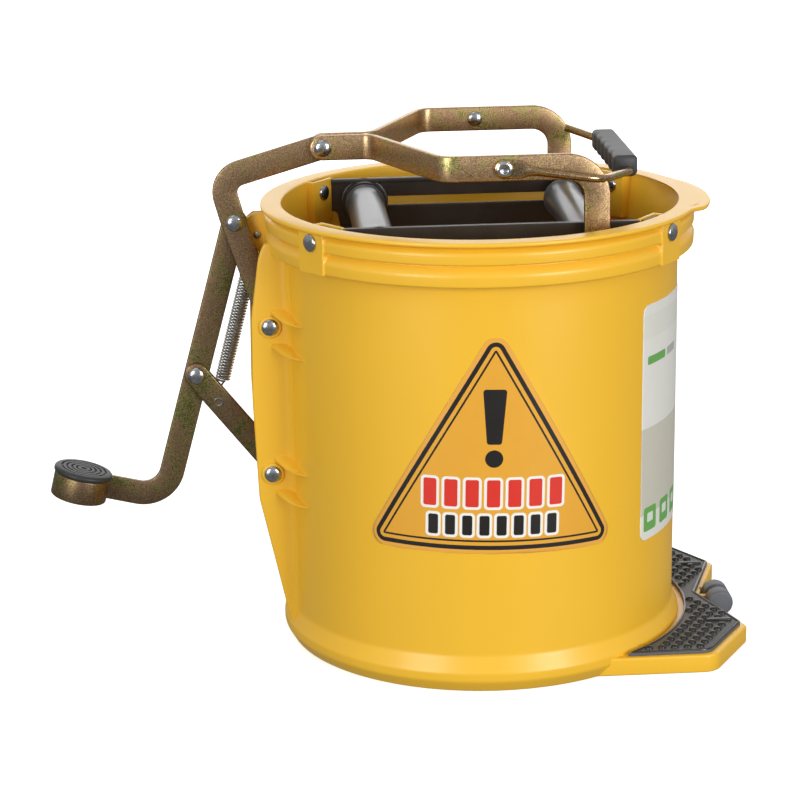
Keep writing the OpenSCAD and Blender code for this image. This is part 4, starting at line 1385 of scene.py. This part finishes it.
def build_stage(settings):
    stage = settings.stage
    scene = bpy.context.scene
    scene.view_settings.view_transform = "Standard"
    scene.world = bpy.data.worlds.new("studio")
    build_sky(scene.world, stage)
    build_floor(stage)
    area_light("overhead", (-0.5, 0.1, 2.2), (0, 0, 0.3), (1.4, 1.2), stage.key * 0.2)
    area_light("front_left", (-1.5, -2.0, 0.75), (0, 0, 0.2), (0.9, 1.2), stage.key)
    area_light("front_right", (1.4, -2.1, 0.7), (0, 0, 0.2), (0.9, 1.2), stage.key * 1.35)
    area_light("backdrop", (0, 2.6, 1.1), (0, 0, 0.4), (3.6, 1.6), stage.backdrop)

    yaw, pitch, roll = math.radians(3.80), math.radians(15.92), math.radians(-0.90)
    ahead = Vector((math.sin(yaw) * math.cos(pitch), math.cos(yaw) * math.cos(pitch), -math.sin(pitch)))
    right = Vector((math.cos(yaw), -math.sin(yaw), 0))
    above = right.cross(ahead)
    turned_right = math.cos(roll) * right + math.sin(roll) * above
    turned_up = math.cos(roll) * above - math.sin(roll) * right
    lens = bpy.data.cameras.new("studio_camera")
    lens.lens, lens.sensor_width = stage.lens, 36
    lens.clip_start, lens.clip_end = 0.05, 50
    camera = bpy.data.objects.new("studio_camera", lens)
    camera.matrix_world = Matrix.Translation((-0.1904, -1.9296, 0.7361)) @ Matrix(
        (turned_right, turned_up, -ahead)).transposed().to_4x4()
    scene.collection.objects.link(camera)
    scene.camera = camera


# ---------------------------------------------------------------- operators and panel


class MopBucketOperator:
    """Shared part of the operators: runs one builder with the scene's settings."""

    bl_options = {"REGISTER", "UNDO"}
    build = None

    def execute(self, context):
        type(self).build(context.scene.mop_bucket)
        return {"FINISHED"}


class MOPBUCKET_OT_stage(MopBucketOperator, bpy.types.Operator):
    """Set up the floor, the lights and the camera"""

    bl_idname = "mopbucket.stage"
    bl_label = "Stage"
    build = staticmethod(build_stage)


class MOPBUCKET_OT_shell(MopBucketOperator, bpy.types.Operator):
    """Build the moulded bucket with its rim, spout, ears, pockets and step"""

    bl_idname = "mopbucket.shell"
    bl_label = "Bucket Moulding"
    build = staticmethod(build_shell)


class MOPBUCKET_OT_step(MopBucketOperator, bpy.types.Operator):
    """Build the studded pad and the transport roller"""

    bl_idname = "mopbucket.step"
    bl_label = "Step Pad and Roller"
    build = staticmethod(build_step)


class MOPBUCKET_OT_plates(MopBucketOperator, bpy.types.Operator):
    """Build the two side plates of the wringer"""

    bl_idname = "mopbucket.plates"
    bl_label = "Side Plates"
    build = staticmethod(build_plates)


class MOPBUCKET_OT_rollers(MopBucketOperator, bpy.types.Operator):
    """Build the fixed and the moving roller"""

    bl_idname = "mopbucket.rollers"
    bl_label = "Rollers"
    build = staticmethod(build_rollers)


class MOPBUCKET_OT_linkage(MopBucketOperator, bpy.types.Operator):
    """Build the crank, the strut, the pedal lever and its cap"""

    bl_idname = "mopbucket.linkage"
    bl_label = "Pedal Linkage"
    build = staticmethod(build_linkage)


class MOPBUCKET_OT_yoke(MopBucketOperator, bpy.types.Operator):
    """Build the two arms of the yoke"""

    bl_idname = "mopbucket.yoke"
    bl_label = "Yoke"
    build = staticmethod(build_yoke)


class MOPBUCKET_OT_rivets(MopBucketOperator, bpy.types.Operator):
    """Build the rivet heads and pins"""

    bl_idname = "mopbucket.rivets"
    bl_label = "Rivets"
    build = staticmethod(build_rivets)


class MOPBUCKET_OT_spring(MopBucketOperator, bpy.types.Operator):
    """Build the return spring"""

    bl_idname = "mopbucket.spring"
    bl_label = "Return Spring"
    build = staticmethod(build_spring)


class MOPBUCKET_OT_bail(MopBucketOperator, bpy.types.Operator):
    """Build the carrying bail and its grip"""

    bl_idname = "mopbucket.bail"
    bl_label = "Bail and Grip"
    build = staticmethod(build_bail)


class MOPBUCKET_OT_prints(MopBucketOperator, bpy.types.Operator):
    """Build the floor sign and the side label"""

    bl_idname = "mopbucket.prints"
    bl_label = "Prints"
    build = staticmethod(build_prints)


OPERATORS = (MOPBUCKET_OT_stage, MOPBUCKET_OT_shell, MOPBUCKET_OT_step, MOPBUCKET_OT_plates, MOPBUCKET_OT_rollers,
             MOPBUCKET_OT_linkage, MOPBUCKET_OT_yoke, MOPBUCKET_OT_rivets, MOPBUCKET_OT_spring, MOPBUCKET_OT_bail,
             MOPBUCKET_OT_prints)


class MOPBUCKET_PT_panel(bpy.types.Panel):
    """Lists the pieces of the mop bucket"""

    bl_idname = "MOPBUCKET_PT_panel"
    bl_label = "Mop Bucket"
    bl_space_type = "VIEW_3D"
    bl_region_type = "UI"
    bl_category = "Mop Bucket"

    def draw(self, context):
        for operator in OPERATORS:
            self.layout.operator(operator.bl_idname)


CLASSES = (MopBucketShellSettings, MopBucketStepSettings, MopBucketWringerSettings, MopBucketSteelSettings,
           MopBucketPrintSettings, MopBucketStageSettings, MopBucketSettings, *OPERATORS, MOPBUCKET_PT_panel)


def register():
    for cls in CLASSES:
        bpy.utils.register_class(cls)
    bpy.types.Scene.mop_bucket = PointerProperty(type=MopBucketSettings)


def unregister():
    del bpy.types.Scene.mop_bucket
    for cls in reversed(CLASSES):
        bpy.utils.unregister_class(cls)


def main():
    register()
    bpy.ops.mopbucket.stage()
    bpy.ops.mopbucket.shell()
    bpy.ops.mopbucket.step()
    bpy.ops.mopbucket.plates()
    bpy.ops.mopbucket.rollers()
    bpy.ops.mopbucket.linkage()
    bpy.ops.mopbucket.yoke()
    bpy.ops.mopbucket.rivets()
    bpy.ops.mopbucket.spring()
    bpy.ops.mopbucket.bail()
    bpy.ops.mopbucket.prints()


if __name__ == "__main__":
    main()
